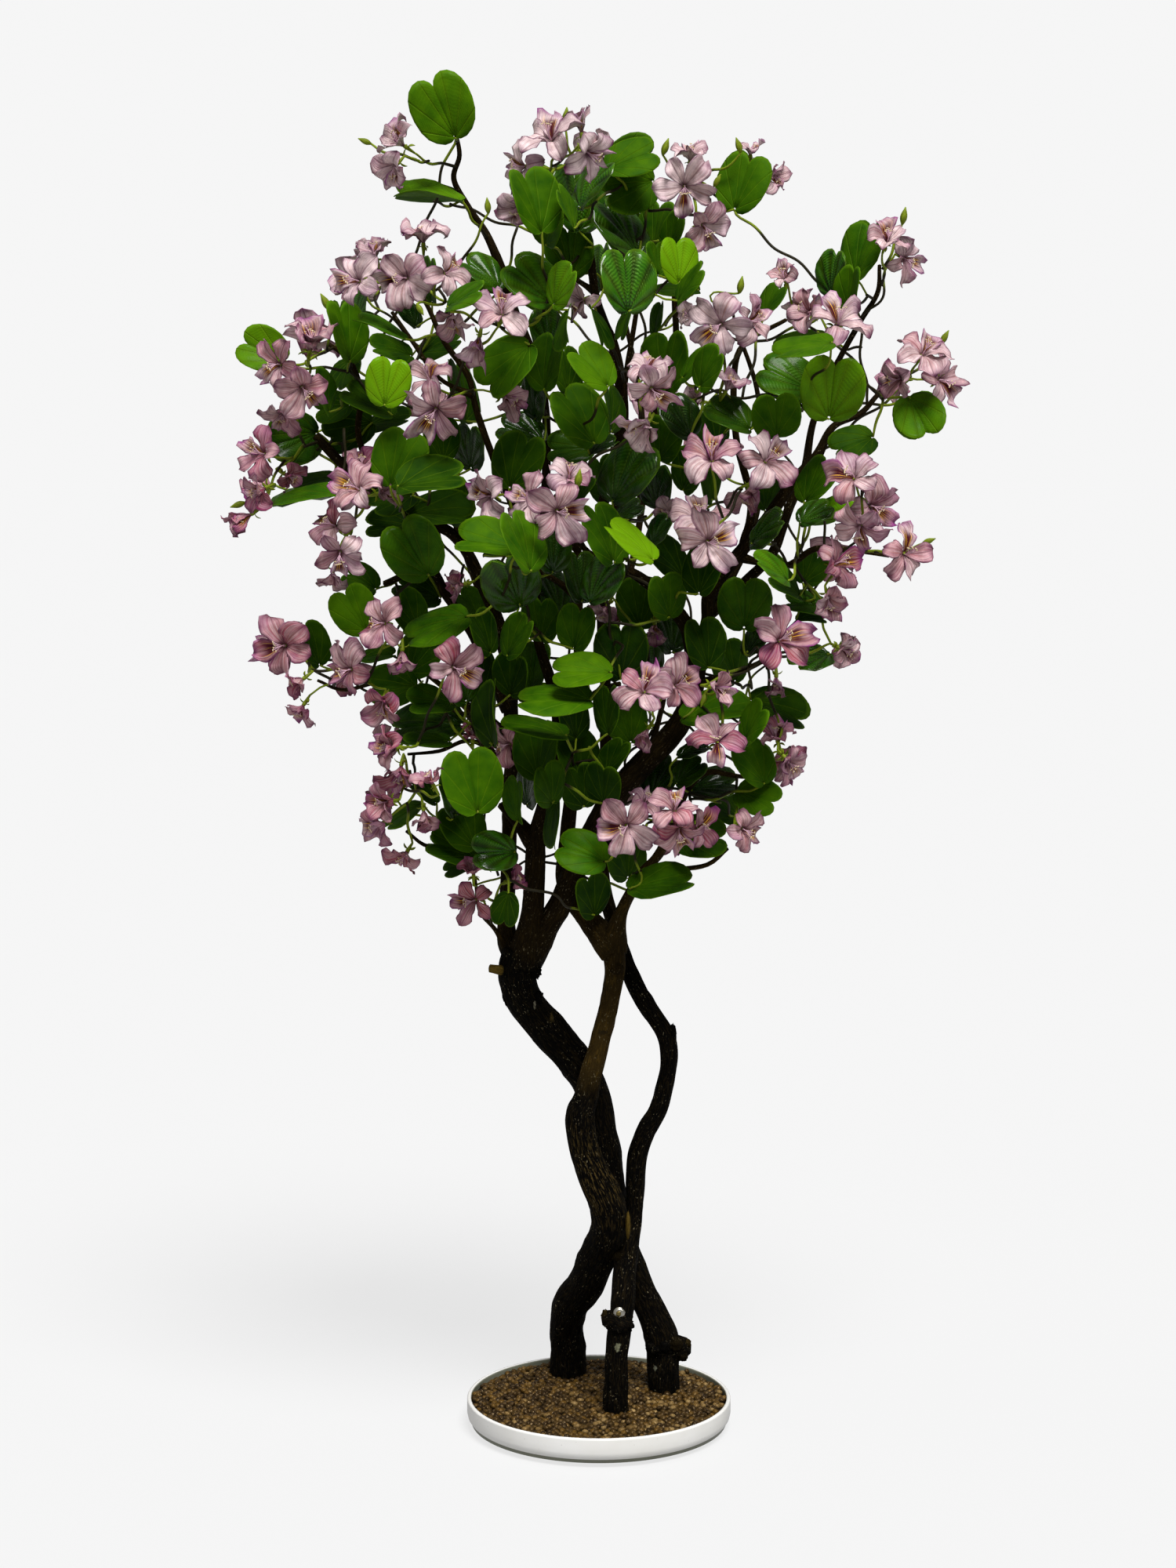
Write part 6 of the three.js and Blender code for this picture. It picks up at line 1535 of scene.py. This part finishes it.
def addBud(form, item):
    bud = item["form"]
    t = np.linspace(0, 1, len(budMesh["radii"]))
    radii = bud["size"] * np.array(budMesh["radii"])
    path = bud["base"] + np.multiply.outer(t * bud["size"], bud["along"])
    addTube(form, path, radii, budMesh["sides"], (1, 0, 0), pieceLooks["stalk"])


for group in groups:
    form = emptyForm()
    addSpur(form, group)
    for item in group["items"]:
        seed = item["number"] * 17 + (7 if item["far"] else 0)
        if item["kind"] == "flower":
            head = item["form"]
            for petal in range(flowerForm["petals"]):
                addPetal(form, head, petal, seed + petal * 10)
            addStamens(form, head, seed)
            addCalyx(form, head, seed)
        elif item["kind"] == "leaf":
            addLeaf(form, item)
        else:
            addBud(form, item)
        addStalk(form, item)
    sheetLook = leafBladeLook if group["isLeaf"] else petalSheetLook
    piece = makePiece("fine_" + group["name"], form, [sheetLook, stalkGreenLook, stamenThreadLook])
    ridePiece(piece, group["name"])
print("leaves and flowers made")

# Wood: every limb is a tube whose rings swell, flare out of the parent and carry upright fissures
woodMesh = {"ring": 5.0, "twigRing": 9.0, "twigRadius": 6, "sideWidth": 3.4, "most": 44, "fewest": 7,
    "flare": 0.5, "flareReach": (2.6, 8), "foot": 12, "thinnest": 0.8, "twigOlive": 0.4}
bumps = {"fissure": 0.6, "fissureShare": 0.04, "fissureRun": 17, "lump": 0.05, "lumpRun": 34,
    "lumpsRound": 6}


# Rows of drawn values, blended between the two rows on either side of each place
def blendRows(rows, at, smooth):
    low = at.astype(int)
    part = (at - low)[:, None]
    if smooth:
        part = part * part * (3 - 2 * part)
    return rows[low] * (1 - part) + rows[low + 1] * part


def reliefOf(run, sides, radii, seed):
    source = np.random.default_rng(seed)
    lines = source.normal(size=(int(run[-1] / bumps["fissureRun"]) + 3, sides))
    fissures = blendRows(lines, run / bumps["fissureRun"], False)
    lumps = source.normal(size=(int(run[-1] / bumps["lumpRun"]) + 3, bumps["lumpsRound"] + 1))
    lumps[:, -1] = lumps[:, 0]
    bands = blendRows(lumps, run / bumps["lumpRun"], True)
    swell = blendRows(bands.T, np.arange(sides) * bumps["lumpsRound"] / sides, True).T
    depth = np.minimum(bumps["fissure"], radii * bumps["fissureShare"])[:, None]
    return fissures * depth + swell * bumps["lump"] * radii[:, None]


# Where the bark is olive and where it is streaked with gold, by the height in the picture
oliveBark = {"from": 1400, "over": 60, "most": 0.85, "forkFrom": 1230, "forkOver": 200, "fork": 0.6,
    "crownFrom": 1200, "crown": 0.25}
goldBark = {"middle": 1495, "over": 95, "least": 0.14}


def oliveShare(name, v):
    if name == "trunk_front" and v < oliveBark["from"]:
        risen = min(oliveBark["most"], (oliveBark["from"] - v) / oliveBark["over"])
        belowFork = oliveBark["fork"] + (v - oliveBark["forkFrom"]) / oliveBark["forkOver"]
        return risen * min(1, max(oliveBark["fork"], belowFork))
    return oliveBark["crown"] if v < oliveBark["crownFrom"] else 0.0


def goldShare(name, v):
    if name != "trunk_front":
        return goldBark["least"]
    return max(goldBark["least"], 1 - abs(v - goldBark["middle"]) / goldBark["over"])


# The sawn peg at the upper left shows bare wood at its end
sawnPeg = {"trunk": "trunk_back", "root": [660, 1236], "from": 0.45}


def addLimb(form, name, rows, isTrunk, seed):
    path = [place(u, v, y) for u, v, width, y in rows]
    radii = [width * pixelSize(v, y) / 2 for u, v, width, y in rows]
    olive = [oliveShare(name, v) for u, v, width, y in rows]
    gold = [goldShare(name, v) for u, v, width, y in rows]
    if isTrunk:
        path.insert(0, np.array([path[0][0], path[0][1], woodMesh["foot"]]))
        for row in (radii, olive, gold):
            row.insert(0, row[0])
    thick = radii[0] > woodMesh["twigRadius"]
    if not thick:
        olive = [max(share, woodMesh["twigOlive"]) for share in olive]
    path, values = smoothPath(path, np.column_stack([radii, olive, gold]),
        woodMesh["ring"] if thick else woodMesh["twigRing"])
    radii = np.maximum(values[:, 0], woodMesh["thinnest"])
    run = runAlong(path)
    if not isTrunk:
        share, start = woodMesh["flareReach"]
        radii = radii * (1 + woodMesh["flare"] * np.exp(-(run / (radii[0] * share + start)) ** 2))
    wanted = 2 * math.pi * radii.max() / woodMesh["sideWidth"]
    sides = int(min(woodMesh["most"], max(woodMesh["fewest"], wanted)))
    isSawn = name == sawnPeg["trunk"] and rows[0][:2] == sawnPeg["root"]
    pale = np.clip((run / run[-1] - sawnPeg["from"]) * 4, 0, 1) if isSawn else np.zeros(len(run))
    tint = np.column_stack([np.clip(values[:, 1], 0, 1), pale, np.clip(values[:, 2], 0, 1)])
    addTube(form, path, radii, sides, tint, 0, reliefOf(run, sides, radii, seed))


# Knots and burrs on the bark: picture place, depth, half width, height and depth in mm, and paleness
knots = {
    "trunk_front": [(801, 1563, -36, 3.4, 19, 9, 0.75), (787, 1236, -20, 9, 8, 6, 0),
        (760, 1640, 30, 9, 14, 9, 0), (729, 1418, -24, 5, 11, 7, 0.05), (733, 1430, -30, 4, 8, 6, 0),
        (770, 1319, -22, 9, 4, 5, 0)],
    "trunk_right": [(800, 1690, -50, 10, 7, 8, 0), (780, 1690, -52, 9, 6, 6, 0),
        (788, 1696, -56, 9, 5, 5, 0), (772, 1678, -44, 5, 8, 6, 0.1), (858, 1318, 6, 5, 12, 7, 0),
        (826, 1440, 4, 6, 10, 7, 0), (790, 1602, -14, 10, 8, 7, 0.05), (803, 1605, -14, 6, 6, 6, 0.1)],
    "trunk_back": [(832, 1717, 28, 8, 6, 8, 0), (838, 1722, 24, 9, 6, 8, 0), (848, 1718, 22, 9, 8, 8, 0),
        (862, 1715, 24, 9, 10, 9, 0.06), (871, 1729, 33, 7, 8, 9, 0.04), (877, 1713, 36, 5, 6, 7, 0.15),
        (683, 1240, -4, 8, 9, 8, 0), (687, 1272, -4, 6, 8, 7, 0), (646, 1262, 6, 6, 20, 8, 0),
        (742, 1345, 8, 8, 10, 8, 0), (738, 1375, 22, 7, 9, 7, 0)],
}
knotMesh = {"segments": 18, "rings": 11, "pole": 0.12, "rough": 0.15, "oliveShare": 0.8}


def addKnot(form, olive, u, v, y, wide, high, deep, pale, seed):
    source = np.random.default_rng(seed)
    turn = np.linspace(knotMesh["pole"], math.pi - knotMesh["pole"], knotMesh["rings"])
    profile = np.column_stack([np.sin(turn), -np.cos(turn)])
    addTurned(form, np.vstack([[[0, -1]], profile, [[0, 1]]]), knotMesh["segments"], (olive, pale, 0), 0)
    points = form["points"][-1]
    swell = 1 + knotMesh["rough"] * source.normal(size=(len(points), 1)) * (1 - pale)
    form["points"][-1] = points * swell * [wide, deep, high] + place(u, v, y)
    form["grain"][-1] = form["points"][-1]


woodNames = {"trunk_front": "frontTrunk", "trunk_right": "rightTrunk", "trunk_back": "backTrunk"}
for order, (name, limbs) in enumerate(trunks.items()):
    form = emptyForm()
    for i, rows in enumerate(limbs):
        addLimb(form, name, rows, i == 0, 100 * order + i)
    for i, knot in enumerate(knots[name]):
        addKnot(form, knotMesh["oliveShare"] * oliveShare(name, knot[1]), *knot, 900 + 40 * order + i)
    piece = makePiece(woodNames[name], form, [barkLooks[name]])
    ridePiece(piece, name)
print("wood made")

# Pot: a low turned dish, its cast block, a bed under loose stones
dish = {"radius": 182, "height": 41, "wall": 6, "floor": 6, "foot": 158, "lip": 2.5, "segments": 120}
inner = dish["radius"] - dish["wall"]
rim = dish["radius"] - dish["wall"] / 2
form = emptyForm()
lipTurn = np.radians(np.linspace(-10, 190, 9))
lipRound = np.column_stack([rim + dish["wall"] / 2 * np.cos(lipTurn),
    dish["height"] - dish["lip"] + dish["lip"] * np.sin(lipTurn)])
addTurned(form, np.vstack([[[0, 0], [dish["foot"] - 4, 0], [dish["foot"], 0.6], [dish["foot"] + 2, 2.4],
    [dish["foot"] + 12, 6.6], [dish["radius"] - 4, 11.5], [dish["radius"] - 1.2, 15.5],
    [dish["radius"], 21], [dish["radius"], 30]], lipRound,
    [[inner, 20], [inner, dish["floor"]], [0, dish["floor"]]]]), dish["segments"], (0, 0, 0), 0)
ridePiece(makePiece("glazedDish", form, [dishGlazeLook]), "dish")

gravel = {"centres": 34, "bed": 32.6, "bottom": 27.4, "radius": 175.4, "margin": 2.6, "spacing": 9.6,
    "rowShare": 0.87, "rows": 40, "stray": 1.4, "least": 3.7, "most": 6.0, "rise": 1.4, "knobs": 0.06,
    "gapFrom": 2.8, "gapOver": 3.4, "segments": 64, "seed": 11}
source = np.random.default_rng(gravel["seed"])


# A round rock that every stone is turned, stretched and knobbed from
def rockPattern():
    rock = bpy.data.meshes.new("rockPattern")
    shell = bmesh.new()
    bmesh.ops.create_icosphere(shell, subdivisions=2, radius=1)
    shell.to_mesh(rock)
    shell.free()
    points = np.array([v.co[:] for v in rock.vertices])
    faces = np.array([p.vertices[:] for p in rock.polygons])
    bpy.data.meshes.remove(rock)
    return points, faces


# Rows of stones across the dish, each a little astray, but none inside a trunk's foot
def stonePlaces():
    spots = []
    step, stray = gravel["spacing"], gravel["stray"]
    for row in range(-gravel["rows"], gravel["rows"] + 1):
        for column in range(-gravel["rows"], gravel["rows"] + 1):
            x = (column + 0.5 * (row % 2)) * step + source.uniform(-stray, stray)
            y = row * step * gravel["rowShare"] + source.uniform(-stray, stray)
            if math.hypot(x, y) < gravel["radius"] - gravel["margin"]:
                spots.append((x, y))
    roots = [limbs[0][0] for limbs in trunks.values()]
    feet = [(place(u, v, y), width / 2 - 1) for u, v, width, y in roots]
    return [p for p in spots if all(math.hypot(p[0] - f[0], p[1] - f[1]) > r for f, r in feet)]


rockPoints, rockFaces = rockPattern()
form = emptyForm()
# The bed under the stones carries a full share of painted shade, so it is painted near-black
addTurned(form, [[0, gravel["bottom"]], [gravel["radius"], gravel["bottom"]],
    [gravel["radius"], gravel["bed"]], [0, gravel["bed"]]], gravel["segments"], (0, 1, 0), 0)
spots = stonePlaces()
for x, y in spots:
    turn = np.linalg.qr(source.normal(size=(3, 3)))[0]
    if np.linalg.det(turn) < 0:
        turn[:, 0] = -turn[:, 0]
    half = source.uniform(gravel["least"], gravel["most"], 3)
    knobs = 1 + gravel["knobs"] * source.normal(size=(len(rockPoints), 1))
    centre = (x, y, gravel["centres"] + source.uniform(-gravel["rise"], gravel["rise"]))
    stone = (rockPoints * knobs * half) @ turn.T + centre
    # Painted shade: each stone is painted darker below a level a little above its centre, darkest
    # underneath
    paintedLowShade = np.clip((centre[2] + gravel["gapFrom"] - stone[:, 2]) / gravel["gapOver"], 0, 1)
    tone = min(1, max(0, source.uniform() + 0.08 * x / gravel["radius"]))
    shade = source.uniform()
    tint = np.column_stack([np.full(len(stone), tone), paintedLowShade, np.full(len(stone), shade)])
    addForm(form, stone, [], rockFaces, tint, (0, 0), 0)
ridePiece(makePiece("looseGravel", form, [gravelStoneLook]), "gravel")
print("dish and gravel made:", len(spots), "stones")

# Bolt: a domed head over a washer, with a painted gold reflection off-centre to the left
bolt = {"at": (790, 1671, -36), "out": 13, "dome": 7.5, "washerTop": 1.7, "domeRise": 3.2,
    "segments": 40, "tint": (0.15, 0, 0), "reflectionAside": -1.0, "reflectionSegments": 24,
    "washer": [[0, -12], [3.5, -12], [3.5, 0], [8.3, 0.1], [8.4, 1.2], [7.8, 1.7]],
    "heart": [[0, 3.6], [3.9, 3.6], [3.9, 4.4], [2.2, 5.3], [0, 5.5]]}
boltAt = place(*bolt["at"]) - [0, bolt["out"], 0]
form = emptyForm()
domeTurn = np.radians(np.linspace(0, 80, 7))
dome = np.column_stack([bolt["dome"] * np.cos(domeTurn),
    bolt["washerTop"] + bolt["domeRise"] * np.sin(domeTurn)])
crest = [[0, bolt["washerTop"] + bolt["domeRise"]]]
profile = np.vstack([bolt["washer"], dome, crest])
# The whole dome is painted a little towards the gold reflection
addTurned(form, profile, bolt["segments"], bolt["tint"], 0, boltAt, axis=1)
# Painted reflection: a gold patch on the dome, off-centre to the left
addTurned(form, bolt["heart"], bolt["reflectionSegments"], (1, 0, 0), 0, boltAt + [bolt["reflectionAside"], 0, 0],
    axis=1)
ridePiece(makePiece("legBolt", form, [boltSteelLook]), "leg_bolt")

# The block's own solid is right, and takes the cement
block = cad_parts["cast_block"]
block.data.materials.clear()
block.data.materials.append(castCementLook)

# Studio: a wide pale floor under a pale sky, a soft key from above and a fill
studio = {"floor": "#6e6e6e", "glow": 0.732, "bounce": 0.3, "sky": 0.16, "seen": 0.92, "floorReach": 60,
    "floorDrop": 0.0006}
suns = {"softKey": {"power": 3.6, "height": 60, "turn": 18, "softness": 26},
    "softFill": {"power": 0.25, "height": 40, "turn": -60, "softness": 60}}
floorMesh = bpy.data.meshes.new("paleFloor")
reach = studio["floorReach"]
floorMesh.from_pydata([(-reach, -reach, 0), (reach, -reach, 0), (reach, reach, 0), (-reach, reach, 0)],
    [], [(0, 1, 2, 3)])
floorLook, tree, shader = newLook("paleFloor", {"Base Color": studio["floor"], "Roughness": 0.9,
    "Specular IOR Level": 0, "Emission Color": "#ffffff"})
seen = addNode(tree, "LightPath").outputs["Is Camera Ray"]
glow = addNode(tree, "MapRange", {0: seen, 3: studio["bounce"], 4: studio["glow"]})
tree.links.new(glow.outputs[0], shader.inputs["Emission Strength"])
floorMesh.materials.append(floorLook)
floor = bpy.data.objects.new("paleFloor", floorMesh)
floor.location.z = -studio["floorDrop"]
scene.collection.objects.link(floor)

world = bpy.data.worlds.new("paleSky")
world.use_nodes = True
scene.world = world
tree = world.node_tree
sky = tree.nodes["Background"]
seen = addNode(tree, "LightPath").outputs["Is Camera Ray"]
strength = addNode(tree, "MapRange", {0: seen, 3: studio["sky"], 4: studio["seen"]})
setInputs(tree, sky, {"Color": "#ffffff", "Strength": strength.outputs[0]})
scene.view_settings.view_transform = "Standard"


for name, sun in suns.items():
    lampData = bpy.data.lights.new(name, "SUN")
    lampData.energy = sun["power"]
    lampData.angle = math.radians(sun["softness"])
    lamp = bpy.data.objects.new(name, lampData)
    lamp.rotation_euler = (math.radians(90 - sun["height"]), 0, math.radians(sun["turn"]))
    scene.collection.objects.link(lamp)
print("studio set")
